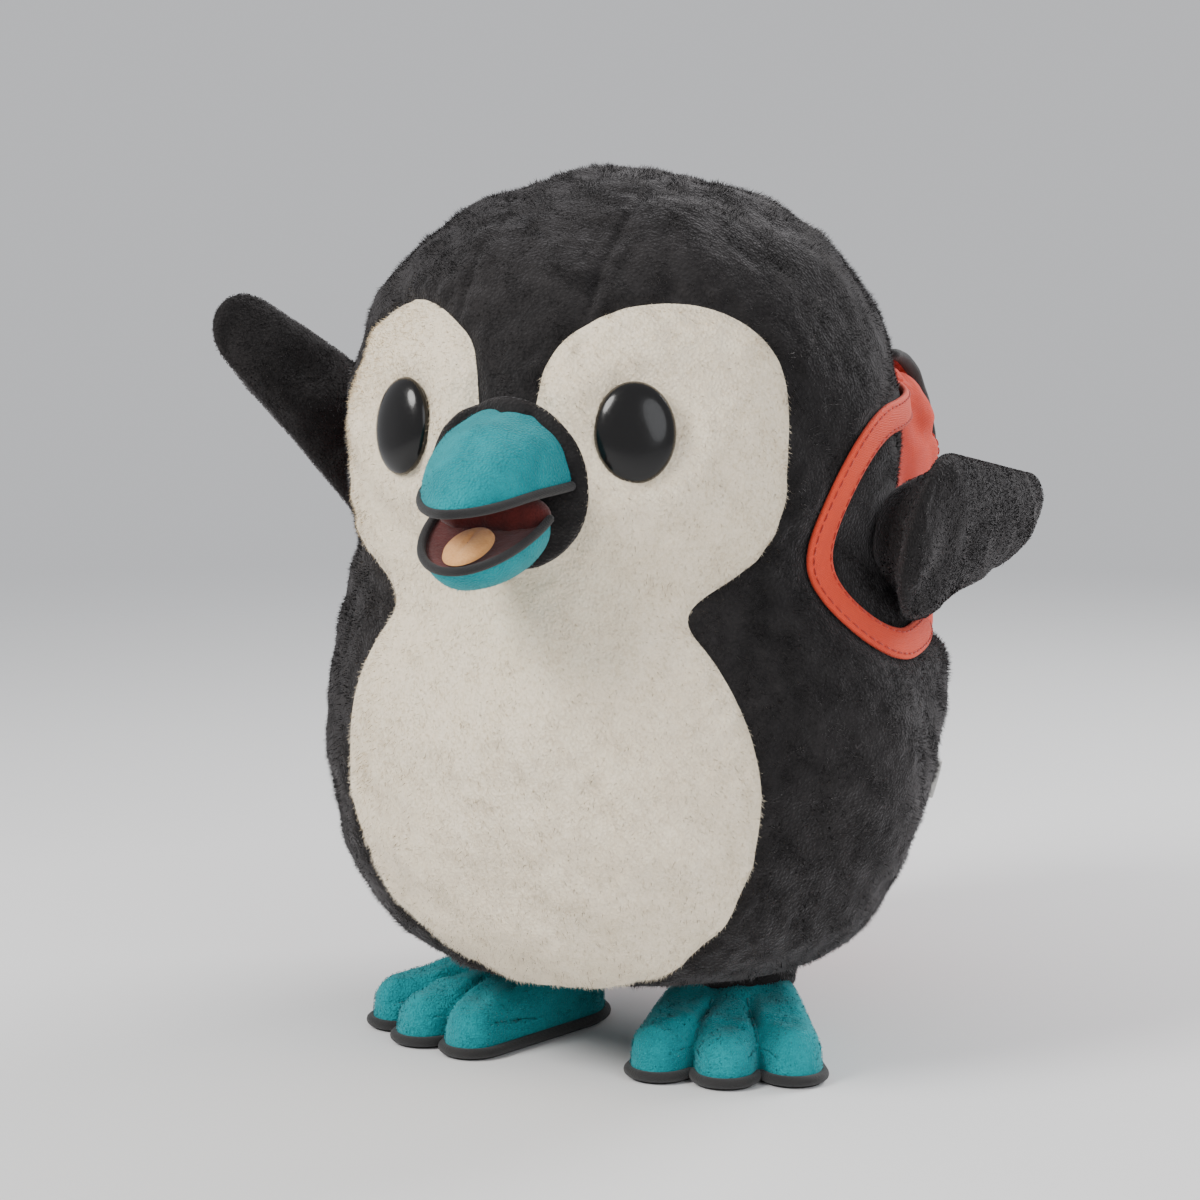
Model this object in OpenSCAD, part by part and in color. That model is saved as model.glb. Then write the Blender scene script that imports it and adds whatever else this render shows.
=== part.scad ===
// Standing plush penguin with a small backpack.
// The penguin faces -Y. Millimetres, +Z up, ground at z = 0.

/* [Body] */
// Half width of the belly
belly_r = 103; // [98:1:108]
// Half width of the head
head_r = 94; // [88:1:98]
// Height of the head's top above the body's own lowest point
body_h = 277; // [270:1:284]
// Forward lean of the body, in degrees
lean = 5; // [0:1:7]
// Thickness of the plush skin
skin_t = 2.5; // [1.5:0.5:3]

/* [Face] */
// Height of the eyes on the body
eye_z = 203; // [196:1:210]
// Angle of each eye from the middle of the face, in degrees
eye_angle = 25.5; // [22:0.5:30]
// Width of an eye
eye_w = 25; // [18:1:28]
// Height of an eye
eye_h = 31; // [26:1:36]
// How far the upper beak stands out of the face
beak_len = 42; // [32:1:50]
// How far the lower beak hangs open, in degrees
beak_open = 20; // [16:1:24]

/* [Flippers] */
// How far the right flipper is swung forward and up from hanging down, in degrees
right_swing = 138; // [80:1:165]
// How far the left flipper is swung back from hanging down, in degrees
left_swing = 86; // [65:1:120]
// How far the right shoulder sits round towards the back, in degrees
right_shoulder_back = 22; // [0:1:25]
// Distance from the shoulder to the middle of a flipper's tip
flipper_reach = 90; // [78:1:94]

/* [Feet] */
// Distance of each ankle from the middle
ankle_x = 36; // [34:1:40]
// Turn of the right foot away from straight ahead, in degrees
right_toe_out = 28; // [0:1:50]
// Turn of the left foot away from straight ahead, in degrees
left_toe_out = 18; // [0:1:50]
// Distance from the ankle to the middle of a toe tip
toe_reach = 52; // [46:1:56]

/* [Backpack] */
// Half width of the pack
pack_half_w = 64; // [58:1:68]
// How far behind the body's axis the pack reaches
pack_back = 146; // [140:1:150]
// Width of a shoulder strap
strap_w = 10; // [8:1:12]

/* [Hidden] */
$fn = 96;

black = "#26211f";
cream = "#f1e5d0";
teal = "#1d98a1";
red = "#e4543a";
maroon = "#6b1f1c";
peach = "#e9a860";
white = "#efece4";

big = 400;
gap = 0.3;

// ---- placing -----------------------------------------------------------------
base_z = 30;          // underside of the base panel
body_lift = 20;       // height of the body's own origin above the ground
body_x = 12;         // the raised flipper reaches further out than the other one
body_y = 4.5;         // place of the body's own origin, front to back
ankle_y = 0;

module leaned() translate([body_x, body_y, body_lift]) rotate([lean, 0, 0]) children();

// ---- body of revolution --------------------------------------------------------
belly_z = 96;
head_half_h = 87;
head_z = body_h - head_half_h;
neck_sharpness = 12;
profile_steps = 40;

function oval(z, centre, half, r, n) =
    abs(z - centre) >= half ? 0 : r * pow(1 - pow(abs(z - centre) / half, n), 1 / n);

// Radius of the body at height z, with the surface moved out by d.
function body_r(z, d = 0) =
    let (belly = oval(z, belly_z, belly_z + d, belly_r + d, z < belly_z ? 2.5 : 2),
         head = oval(z, head_z, head_half_h + d, head_r + d, 2))
    pow(pow(belly, neck_sharpness) + pow(head, neck_sharpness), 1 / neck_sharpness);

// The whole body as one solid of revolution, with its surface moved out by d.
module body_form(d = 0) {
    low = -d;
    high = body_h + d;
    rotate_extrude() polygon(concat(
        [[0, low]],
        [for (i = [1 : profile_steps - 1])
            let (z = low + (high - low) * (1 - cos(180 * i / profile_steps)) / 2)
            [body_r(z, d), z]],
        [[0, high]]
    ));
}

module body_layer(inner, outer) {
    difference() {
        body_form(outer);
        body_form(inner);
    }
}

// The space in front of the body's middle plane, under an outline drawn in X and Z.
module from_front() rotate([90, 0, 0]) linear_extrude(big) children();

module above_base(z = base_z) translate([-big, -big, z]) cube([2 * big, 2 * big, big]);

// A point on the body's surface, and the direction that faces straight out of it there.
module on_body(angle, z) {
    slope = atan2(body_r(z - 1) - body_r(z + 1), 2);
    rotate([0, 0, angle]) translate([0, -body_r(z), z]) rotate([90 - slope, 0, 0]) children();
}

// ---- outlines -------------------------------------------------------------------
// Points along an arc, counted from one angle to another.
function arc(x, y, r, from, to, steps) =
    [for (i = [0 : steps]) let (a = from + (to - from) * i / steps) [x + r * cos(a), y + r * sin(a)]];

// A round root at the origin and a round tip at reach, joined by their outer tangents.
function leaf(root_r, tip_r, reach) =
    let (taper = asin((root_r - tip_r) / reach))
    concat(
        arc(0, 0, root_r, 90 - taper, 270 + taper, 26),
        arc(reach, 0, tip_r, taper - 90, 90 - taper, 14)
    );

// The pale face and belly, seen from the front.
module front_outline() {
    difference() {
        union() {
            translate([0, 88]) circle(r = 74);
            for (side = [-1, 1]) {
                translate([side * 42, 205]) circle(r = 36);
                translate([side * 34, 188]) circle(r = 44);
            }
            translate([-40, 140]) square([80, 65]);
        }
        translate([-gusset_tip, beak_z]) square([2 * gusset_tip, 90]);
    }
}

gusset_tip = 9.5;
gusset_half = 22;
beak_z = 187;
gusset_low = beak_z;

module gusset_zone() {
    translate([-gusset_half, -big, gusset_low]) cube([2 * gusset_half, 2 * big, big]);
}

// ---- skin of the body -----------------------------------------------------------
module skin() {
    intersection() {
        leaned() body_layer(-skin_t, 0);
        above_base();
    }
}

module eye_holes() for (side = [-1, 1]) on_body(side * eye_angle, eye_z)
    cylinder(r = post_r + gap, h = 16, center = true);

module front_panel() {
    color(cream) difference() {
        intersection() {
            skin();
            leaned() from_front() front_outline();
        }
        leaned() eye_holes();
    }
}

module head_gusset() {
    color(black) difference() {
        intersection() {
            leaned() body_layer(-skin_t, 0);
            leaned() gusset_zone();
        }
        leaned() from_front() front_outline();
    }
}

module side_panel(side) {
    color(black) difference() {
        skin();
        leaned() from_front() front_outline();
        leaned() gusset_zone();
        translate([body_x - (side > 0 ? big : 0), -big, 0]) cube([big, 2 * big, big]);
        at_shoulder(side) cylinder(r = shank_r + 0.4, h = 60, center = true);
    }
}

module base_panel() {
    color(black) difference() {
        intersection() {
            leaned() body_form(-skin_t);
            translate([-big, -big, base_z]) cube([2 * big, 2 * big, skin_t]);
        }
        for (side = [-1, 1]) at_ankle(side) cylinder(r = shank_r + 0.4, h = 2 * base_z);
    }
}

// ---- filling ----------------------------------------------------------------------
bag_r = 40;
bag_half_h = 12;
bag_z = 64;

module bag_form(inset) {
    h = bag_half_h - inset;
    translate([body_x, body_y, bag_z]) rotate_extrude()
        polygon(concat([[0, -h]], arc(bag_r - bag_half_h, 0, h, -90, 90, 16), [[0, h]]));
}

module ballast_bag() {
    color(white) difference() {
        bag_form(0);
        bag_form(1);
    }
}

module ballast_pellets() color("#b9c2c9") bag_form(1.1);

module body_stuffing() {
    color(white) difference() {
        intersection() {
            leaned() body_form(-skin_t - 0.1);
            above_base(base_z + skin_t + 0.1);
        }
        bag_form(-0.2);
        for (side = [-1, 1]) {
            at_ankle(side) {
                cylinder(r = disc_r + 0.5, h = washer_z + washer_t + 0.2);
                cylinder(r = lock_r + 0.8, h = shank_top + 0.8);
            }
            leaned() on_body(side * eye_angle, eye_z) mirror([0, 0, 1]) {
                cylinder(r = eye_washer_r + 0.5, h = post_len - 3);
                cylinder(r = post_r + 0.5, h = post_len + 0.6);
            }
            at_shoulder(side) mirror([0, 0, 1]) {
                cylinder(r = shoulder_disc_r + 0.3, h = washer_deep + 0.2);
                cylinder(r = lock_r + 0.8, h = shank_deep + 0.6);
            }
        }
    }
}

// ---- eyes ---------------------------------------------------------------------------
post_r = 2;
post_len = 10;
eye_washer_r = 9;
eye_dome = 4.8;       // height of the dome over the plush
eye_dome_r = 32;

module eye(side) {
    color("#141210") leaned() on_body(side * eye_angle, eye_z) {
        intersection() {
            linear_extrude(12) polygon([for (i = [0 : 47])
                [eye_w / 2 * cos(7.5 * i), eye_h / 2 * sin(7.5 * i)]]);
            translate([0, 0, eye_dome - eye_dome_r]) sphere(r = eye_dome_r);
        }
        translate([0, 0, -post_len]) cylinder(r = post_r, h = post_len);
    }
}

module eye_washers() {
    color(white) leaned() for (side = [-1, 1]) on_body(side * eye_angle, eye_z)
        mirror([0, 0, 1]) translate([0, 0, skin_t + 0.9]) difference() {
            cylinder(r = eye_washer_r, h = 1.6);
            translate([0, 0, -1]) cylinder(r = post_r, h = 4);
        }
}

// ---- beak ---------------------------------------------------------------------------
surround_r = 27;
surround_t = 1.5;
beak_root = 78;       // the beak's own origin, inside the head
beak_r = 24;
beak_full = head_r - beak_root + beak_len;
lower_r = 19;
lower_len = 33;
knuckle_r = 7;
knuckle_half = 13;
hinge_y = head_r + surround_t + knuckle_r + 0.5;
hinge_z = beak_z - knuckle_r - 0.8;
felt_t = 1;
beak_skin = 1.8;

// A round beak that points along -Y, cut back by d.
module beak_form(r, length, power, d) {
    steps = 20;
    rotate([90, 0, 0]) rotate_extrude() polygon(concat(
        [[0, 0]],
        [for (i = [0 : steps - 1])
            let (s = sin(90 * i / steps))
            [max((r - d) * pow(1 - pow(s, 2), power), 0), (length - d) * s]],
        [[0, length - d]]
    ));
}

module upper_form(d) translate([0, -beak_root, beak_z]) beak_form(beak_r, beak_full, 0.62, d);

module slab(low, high) translate([-big, -big, low]) cube([2 * big, 2 * big, high - low]);

module beak_surround() {
    color(black) leaned() difference() {
        intersection() {
            body_layer(0, surround_t);
            from_front() translate([0, beak_z]) circle(r = surround_r);
        }
        intersection() {
            upper_form(-0.05);
            slab(beak_z, beak_z + 60);
        }
    }
}

module upper_beak_cover() {
    color(teal) leaned() difference() {
        intersection() {
            upper_form(0);
            slab(beak_z + felt_t, beak_z + 60);
        }
        intersection() {
            upper_form(beak_skin);
            slab(beak_z, beak_z + 60);
        }
        body_form(0);
    }
}

module upper_beak_stuffing() {
    color(white) leaned() difference() {
        intersection() {
            upper_form(beak_skin + 0.1);
            slab(beak_z + felt_t + 0.1, beak_z + 60);
        }
        body_form(0.1);
    }
}

module mouth_roof() {
    color(maroon) leaned() difference() {
        intersection() {
            upper_form(0.4);
            slab(beak_z, beak_z + felt_t);
        }
        body_form(surround_t);
    }
}

// Everything that moves with the lower beak is drawn about its hinge.
module lower_placed() {
    leaned() translate([0, -hinge_y, hinge_z]) rotate([beak_open, 0, 0]) children();
}

module lower_form(d) beak_form(lower_r, lower_len, 0.5, d);

module knuckle(d) rotate([0, 90, 0])
    cylinder(r = knuckle_r - d, h = 2 * (knuckle_half - d), center = true);

// The lower beak's filling space, cut back by d.
module lower_cavity(d) {
    intersection() {
        lower_form(d);
        translate([-big / 2, -big - d, -60]) cube([big, big, 60 - felt_t - d + beak_skin]);
    }
    knuckle(d);
}

module lower_beak_cover() {
    color(teal) lower_placed() difference() {
        union() {
            intersection() {
                lower_form(0);
                slab(-60, 0);
            }
            knuckle(0);
        }
        lower_cavity(beak_skin);
        translate([-big / 2, -big - knuckle_r, -felt_t]) cube([big, big, big]);
    }
}

module lower_beak_stuffing() color(white) lower_placed() lower_cavity(beak_skin + 0.1);

module mouth_floor() {
    color(maroon) lower_placed() intersection() {
        lower_form(0.4);
        slab(-felt_t, 0);
        translate([-big / 2, -big - knuckle_r - 0.1, -5]) cube([big, big, 10]);
    }
}

module tongue() {
    color(peach) lower_placed() translate([0, -15, 0.05]) rotate([0, 0, -90]) linear_extrude(2.2)
        polygon(leaf(7, 6.5, 8));
}

// ---- flippers --------------------------------------------------------------------------
shoulder_r = 90;      // the shoulder joint's origin, from the body's axis
shoulder_z = 162;
shoulder_tilt = 12;   // how far the joint's axis points down, in degrees
shoulder_disc_r = 12;
washer_deep = 9;      // depth of the washer's inner face
shank_deep = 13.5;
collar_r = 17;
collar_low = 5.4;
fin_mid = 18;         // the middle of a flipper's thickness, out from the joint's origin
fin_half_t = 8;
fin_sphere = 330;     // curve of a flipper's two faces
fin_centre = 37;      // where a flipper is fullest
fin_skin = 1.8;
fin_root_r = 27.5;
fin_tip_r = 14;
fin_disc_z = collar_low + fin_skin + 0.1;

// A shoulder and its strap are moved round the body together.
module round_back(side) rotate([0, 0, side > 0 ? 0 : -right_shoulder_back]) children();

// The frame of a shoulder joint: Z points out along the axis, X hangs down.
module at_shoulder(side) {
    leaned() round_back(side) mirror([side > 0 ? 0 : 1, 0, 0])
        translate([shoulder_r, 0, shoulder_z]) rotate([0, 90 + shoulder_tilt, 0]) children();
}

module at_flipper(side) at_shoulder(side)
    rotate([0, 0, side > 0 ? left_swing : -right_swing]) children();

// The round lens that thins a flipper towards its edges, cut back by d.
module lens(d) {
    r = fin_sphere - d;
    rise = fin_sphere - fin_half_t;
    rim = asin(rise / r);
    rotate_extrude() polygon([for (i = [-12 : 12])
        let (a = rim + (90 - rim) * abs(i) / 12) [r * cos(a), sign(i) * (r * sin(a) - rise)]]);
}

// A flipper as a solid with its collar, cut back by d.
module fin_form(d) {
    intersection() {
        translate([0, 0, fin_mid - 15]) linear_extrude(30)
            polygon(leaf(fin_root_r - d, fin_tip_r - d, flipper_reach));
        translate([fin_centre, 0, fin_mid]) lens(d);
    }
    translate([0, 0, collar_low + d]) cylinder(r = collar_r - d, h = fin_mid - collar_low - d);
}

module flipper_outer(side) {
    color(black) at_flipper(side) intersection() {
        difference() {
            fin_form(0);
            fin_form(fin_skin);
        }
        translate([-60, -60, fin_mid]) cube([200, 120, 30]);
    }
}

module flipper_inner(side) {
    color(black) at_flipper(side) difference() {
        fin_form(0);
        fin_form(fin_skin);
        translate([-60, -60, fin_mid]) cube([200, 120, 30]);
        cylinder(r = shank_r + 0.1, h = fin_mid);
    }
}

module flipper_stuffing(side) {
    color(white) at_flipper(side) difference() {
        fin_form(fin_skin + 0.1);
        translate([0, 0, collar_low]) cylinder(r = disc_r + 0.1, h = fin_skin + disc_t + 0.3);
    }
}

module shoulder_stud(side) {
    color("#d9d4c6") at_flipper(side) {
        translate([0, 0, fin_disc_z]) cylinder(r = disc_r, h = disc_t);
        translate([0, 0, -shank_deep]) cylinder(r = shank_r, h = shank_deep + fin_disc_z);
    }
}

module shoulder_lock(side) {
    color("#d9d4c6") at_flipper(side) translate([0, 0, -washer_deep - gap - 3.5]) difference() {
        cylinder(r = lock_r, h = 3.5);
        translate([0, 0, -1]) cylinder(r = shank_r, h = 6);
    }
}

// Each washer's outer face follows the inside of the skin.
module shoulder_washers() {
    color("#d9d4c6") for (side = [-1, 1]) intersection() {
        leaned() body_form(-skin_t);
        at_shoulder(side) translate([0, 0, -washer_deep]) difference() {
            cylinder(r = shoulder_disc_r, h = washer_deep + 6);
            translate([0, 0, -1]) cylinder(r = shank_r + 0.07, h = 30);
        }
    }
}

// ---- feet --------------------------------------------------------------------------------
heel_r = 21;
toe_r = 9.5;
toe_spread = 25;
foot_h = 24;
toe_h = 12;
foot_skin = 2;
leg_r = 20;
piping = 1.8;

shank_r = 3.2;
shank_top = 42;
disc_r = 14;
disc_t = 2.5;
leg_top = base_z - gap;
disc_z = leg_top - foot_skin - disc_t;
washer_z = base_z + skin_t;
washer_t = 2;
lock_r = 8;

module at_ankle(side) translate([body_x + side * ankle_x, ankle_y, 0]) children();

module at_foot(side) at_ankle(side)
    rotate([0, 0, side > 0 ? left_toe_out : -right_toe_out]) children();

// Three tapered toes round one heel, cut back by d. The toes point along -Y.
module foot_outline(d) {
    taper = asin((heel_r - toe_r) / toe_reach);
    crotch = (heel_r - d) / sin(taper + toe_spread / 2);
    rotate(-90) polygon(concat(
        arc(0, 0, heel_r - d, 90 - taper + toe_spread, 270 + taper - toe_spread, 20),
        [for (toe = [-1 : 1]) each concat(
            arc(toe_reach * cos(toe * toe_spread), toe_reach * sin(toe * toe_spread), toe_r - d,
                toe * toe_spread + taper - 90, toe * toe_spread + 90 - taper, 12),
            toe < 1 ? [crotch * [cos((toe + 0.5) * toe_spread), sin((toe + 0.5) * toe_spread)]] : []
        )]
    ));
}

// A foot that slopes down from the ankle to the toes, cut back by d.
module foot_form(d) {
    intersection() {
        translate([0, 0, foot_skin]) linear_extrude(foot_h) foot_outline(d);
        rotate([90, 0, 90]) translate([0, 0, -50]) linear_extrude(100) polygon([
            [heel_r + 5, 0], [heel_r + 5, foot_h - d], [-heel_r, foot_h - d],
            [-toe_reach - 20, toe_h - d], [-toe_reach - 20, 0]
        ]);
    }
}

module foot_top(side) {
    color(teal) at_foot(side) difference() {
        foot_form(0);
        foot_form(foot_skin);
        translate([0, 0, foot_h - 2 * foot_skin]) cylinder(r = leg_r - foot_skin, h = 10);
    }
}

module foot_sole(side) color(black) at_foot(side) linear_extrude(foot_skin) foot_outline(0);

module foot_piping(side) {
    color(black) at_foot(side) translate([0, 0, 0.6]) linear_extrude(2 * piping) difference() {
        foot_outline(-piping);
        foot_outline(0);
    }
}

module foot_stuffing(side) {
    color(white) at_foot(side) union() {
        translate([0, 0, 0.1]) foot_form(foot_skin + 0.2);
        translate([0, 0, foot_h - 8]) cylinder(r = leg_r - foot_skin - 0.1, h = disc_z - foot_h + 7.9);
    }
}

module leg_cover(side) {
    color(black) at_ankle(side) difference() {
        translate([0, 0, foot_h]) cylinder(r = leg_r, h = leg_top - foot_h);
        translate([0, 0, foot_h - 1])
            cylinder(r = leg_r - foot_skin, h = leg_top - foot_skin - foot_h + 1);
        cylinder(r = shank_r + 0.2, h = big);
    }
}

module ankle_stud(side) {
    color("#d9d4c6") at_ankle(side) {
        translate([0, 0, disc_z]) cylinder(r = disc_r, h = disc_t);
        translate([0, 0, disc_z]) cylinder(r = shank_r, h = shank_top - disc_z);
    }
}

module ankle_lock(side) {
    color("#d9d4c6") at_ankle(side) translate([0, 0, washer_z + washer_t + gap]) difference() {
        cylinder(r = lock_r, h = 3.5);
        translate([0, 0, -1]) cylinder(r = shank_r, h = 6);
    }
}

module ankle_washers() {
    color("#d9d4c6") for (side = [-1, 1]) at_ankle(side) translate([0, 0, washer_z]) difference() {
        cylinder(r = disc_r, h = washer_t);
        translate([0, 0, -1]) cylinder(r = shank_r + 0.07, h = 4);
    }
}

// ---- backpack -------------------------------------------------------------------------------
pack_low = 50;
crown_r = 46;                       // rounding of the pack's top, towards the back
crown_y = pack_back - crown_r;
crown_z = 156;
pack_corner = 22;
pack_skin = 2.5;
pack_rest = 0.4;                    // air between the pack and the penguin's back
flap_t = 3;
flap_y = crown_y + 4.5;             // the flap's sewn edge
flap_low = 112;
flap_half_w = 60;
mouth_half_w = 58;
snap_z = 122;
binding = 1.6;

// The pack as a solid, moved out by d: its side view cut by its top view.
module pack_solid(d) {
    front = 55;
    reach = pack_half_w - pack_corner;
    corner = pack_back - pack_corner;
    intersection() {
        rotate([90, 0, 90]) translate([0, 0, -100]) linear_extrude(200) polygon(concat(
            [[front, pack_low - d], [pack_back + d, pack_low - d]],
            arc(crown_y, crown_z, crown_r + d, 0, 90, 18),
            [[front, crown_z + crown_r + d]]
        ));
        translate([0, 0, pack_low - d]) linear_extrude(200) polygon(concat(
            [[-pack_half_w - d, front], [pack_half_w + d, front]],
            arc(reach, corner, pack_corner + d, 0, 90, 10),
            arc(-reach, corner, pack_corner + d, 90, 180, 10)
        ));
    }
}

module pack_outside(d = 0) {
    difference() {
        pack_solid(d);
        body_form(pack_rest);
    }
}

module pack_pouch() {
    color(red) leaned() difference() {
        pack_outside();
        difference() {
            pack_solid(-pack_skin);
            body_form(pack_rest + pack_skin);
        }
        translate([-mouth_half_w, flap_y + 4, crown_z]) cube([2 * mouth_half_w, big, big]);
        snap_hole();
    }
}

module snap_hole() translate([0, pack_back + 1, snap_z]) rotate([90, 0, 0]) cylinder(r = 5, h = 5);

// A cord round the back and sides of the pack at one height.
module pack_cord(z) {
    intersection() {
        difference() {
            pack_outside(binding);
            pack_solid(0);
        }
        translate([-big / 2, 76, z]) cube([big, big, 2 * binding]);
    }
}

module pack_piping() color(black) leaned() for (z = [pack_low + 0.4, 66, 86]) pack_cord(z);

module flap_zone(inset) {
    translate([-flap_half_w + inset, flap_y, flap_low + inset])
        cube([2 * (flap_half_w - inset), big, big]);
}

module pack_flap() {
    color(red) leaned() difference() {
        intersection() {
            difference() {
                pack_solid(gap + flap_t);
                pack_solid(gap);
            }
            flap_zone(binding);
        }
        snap_post(flap_t + 1);
    }
}

// The binding hems the flap's two sides and its lower edge.
module flap_binding() {
    color(black) leaned() intersection() {
        difference() {
            pack_solid(gap + flap_t);
            pack_solid(gap);
        }
        difference() {
            flap_zone(0);
            flap_zone(binding);
        }
    }
}

module snap_post(length) {
    translate([0, pack_back + gap + length, snap_z]) rotate([90, 0, 0])
        cylinder(r = 1.8, h = length + 1.6);
}

module snap_cap() {
    color("#c9c4ba") leaned() {
        snap_post(flap_t);
        translate([0, pack_back + gap + flap_t + 2.4, snap_z]) rotate([90, 0, 0])
            cylinder(r = 6, h = 2.4);
    }
}

module snap_socket() {
    color("#c9c4ba") leaned() translate([0, pack_back, snap_z]) rotate([90, 0, 0]) difference() {
        cylinder(r = 5, h = 2.4);
        translate([0, 0, -1]) cylinder(r = 3.2, h = 5);
    }
}

// ---- straps and label ---------------------------------------------------------------------------
strap_loop = 37;
strap_z = 160;
strap_t = 2.5;

// A loop round the shoulder that runs straight back to the pack, seen from the side.
module strap_outline(r) {
    translate([0, strap_z]) circle(r = r);
    translate([0, strap_z - r]) square([120, 2 * r]);
}

module strap(side) {
    color(red) leaned() difference() {
        intersection() {
            body_layer(gap, gap + strap_t);
            round_back(side) rotate([90, 0, 90])
                translate([0, 0, side > 0 ? 0 : -big]) linear_extrude(big)
                difference() {
                    strap_outline(strap_loop + strap_w / 2);
                    strap_outline(strap_loop - strap_w / 2);
                }
        }
        translate([-pack_half_w - gap, 50, 0]) cube([2 * (pack_half_w + gap), big, big]);
    }
}

module care_label() {
    color(white) leaned() difference() {
        rotate([0, 0, 128]) translate([-0.4, -body_r(58) - 15, 52]) cube([0.8, 30, 13]);
        body_form(0);
    }
}

front_panel();
head_gusset();
side_panel(1);  // left_side_panel
side_panel(-1);  // right_side_panel
base_panel();
body_stuffing();
ballast_bag();
ballast_pellets();
eye(1);  // left_eye
eye(-1);  // right_eye
eye_washers();
beak_surround();
upper_beak_cover();
upper_beak_stuffing();
mouth_roof();
lower_beak_cover();
lower_beak_stuffing();
mouth_floor();
tongue();
flipper_outer(1);  // left_flipper_outer
flipper_inner(1);  // left_flipper_inner
flipper_stuffing(1);  // left_flipper_stuffing
shoulder_stud(1);  // left_shoulder_stud
shoulder_lock(1);  // left_shoulder_lock
flipper_outer(-1);  // right_flipper_outer
flipper_inner(-1);  // right_flipper_inner
flipper_stuffing(-1);  // right_flipper_stuffing
shoulder_stud(-1);  // right_shoulder_stud
shoulder_lock(-1);  // right_shoulder_lock
shoulder_washers();
leg_cover(1);  // left_leg_cover
foot_top(1);  // left_foot_top
foot_sole(1);  // left_foot_sole
foot_piping(1);  // left_foot_piping
foot_stuffing(1);  // left_foot_stuffing
ankle_stud(1);  // left_ankle_stud
ankle_lock(1);  // left_ankle_lock
leg_cover(-1);  // right_leg_cover
foot_top(-1);  // right_foot_top
foot_sole(-1);  // right_foot_sole
foot_piping(-1);  // right_foot_piping
foot_stuffing(-1);  // right_foot_stuffing
ankle_stud(-1);  // right_ankle_stud
ankle_lock(-1);  // right_ankle_lock
ankle_washers();
pack_pouch();
pack_piping();
pack_flap();
flap_binding();
snap_cap();
snap_socket();
strap(1);  // left_strap
strap(-1);  // right_strap
care_label();
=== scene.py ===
from math import acos, asin, cos, pi, radians, sin, sqrt, tau

import bpy
import numpy as np
from mathutils import Matrix, Vector


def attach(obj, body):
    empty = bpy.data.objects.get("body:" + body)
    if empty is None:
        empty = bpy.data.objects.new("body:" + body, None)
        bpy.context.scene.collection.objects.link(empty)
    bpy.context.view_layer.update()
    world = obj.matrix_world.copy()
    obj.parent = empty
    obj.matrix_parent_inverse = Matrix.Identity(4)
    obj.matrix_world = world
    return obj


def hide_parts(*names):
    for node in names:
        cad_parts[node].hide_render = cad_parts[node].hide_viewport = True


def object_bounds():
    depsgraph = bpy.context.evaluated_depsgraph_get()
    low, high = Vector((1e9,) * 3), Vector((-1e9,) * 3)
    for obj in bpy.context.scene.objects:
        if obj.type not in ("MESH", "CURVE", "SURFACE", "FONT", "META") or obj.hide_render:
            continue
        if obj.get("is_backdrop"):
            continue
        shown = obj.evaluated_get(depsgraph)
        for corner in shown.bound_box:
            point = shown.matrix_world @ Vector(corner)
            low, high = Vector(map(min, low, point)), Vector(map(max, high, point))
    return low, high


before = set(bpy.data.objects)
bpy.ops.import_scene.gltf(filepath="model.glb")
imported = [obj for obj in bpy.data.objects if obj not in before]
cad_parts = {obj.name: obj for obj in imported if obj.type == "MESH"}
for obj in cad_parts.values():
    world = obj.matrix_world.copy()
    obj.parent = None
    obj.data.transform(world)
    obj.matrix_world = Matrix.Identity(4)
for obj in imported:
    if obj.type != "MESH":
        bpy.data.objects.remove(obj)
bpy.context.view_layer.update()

# ---- the toy's own frames, in millimetres and degrees ----
BODY_AT = (12.0, 4.5, 20.0)
LEAN = 5.0
BELLY_Z, BELLY_R, HEAD_Z, HEAD_H, HEAD_R, BODY_H = 96.0, 103.0, 190.0, 87.0, 94.0, 277.0
BEAK_Z = 187.0
EYE_Z, EYE_ANGLE = 203.0, 25.5
SHOULDER_R, SHOULDER_Z, SHOULDER_TILT = 90.0, 162.0, 12.0
ANKLE_X = 36.0
BASE_Z = 30.0
# What differs between the left side, 1, and the right side, -1.
SIDE = {1: "left", -1: "right"}
BACK = {1: 0.0, -1: 22.0}
SWING = {1: 86.0, -1: -138.0}
TOE_OUT = {1: 18.0, -1: -28.0}


def rot(axis, deg):
    return Matrix.Rotation(radians(deg), 4, axis)


def shift(x, y, z):
    return Matrix.Translation((x, y, z))


LEANED = shift(*BODY_AT) @ rot("X", LEAN)


def flipper_frame(side):
    turned = rot("Z", -BACK[side]) @ Matrix.Scale(side, 4, (1, 0, 0))
    shoulder = LEANED @ turned @ shift(SHOULDER_R, 0, SHOULDER_Z) @ rot("Y", 90 + SHOULDER_TILT)
    return shoulder @ rot("Z", SWING[side])


def foot_frame(side):
    return shift(BODY_AT[0] + side * ANKLE_X, 0, 0) @ rot("Z", TOE_OUT[side])


# ---- small maths ----
def smooth(x, lo, hi):
    t = np.clip((x - lo) / (hi - lo), 0, 1)
    return t * t * (3 - 2 * t)


def softmin(a, b, k):
    h = np.clip(0.5 + 0.5 * (b - a) / k, 0, 1)
    return b * (1 - h) + a * h - k * h * (1 - h)


def bell(x, power=2):
    """1 at x = 0, falling to almost nothing at 2 on either side."""
    return np.exp(-x ** power)


def unit(v):
    return v / (np.linalg.norm(v, axis=-1, keepdims=True) + 1e-12)


def turns(n):
    """n even steps round a full turn."""
    return np.linspace(0, tau, n, endpoint=False)


def points(*columns):
    """Points from their coordinates, any of which may be one number for all."""
    return np.stack(np.broadcast_arrays(*columns), -1)


def lengths(path):
    """How far along the path each of its points is."""
    return np.concatenate([[0], np.cumsum(np.linalg.norm(np.diff(path, axis=0), axis=1))])


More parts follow.
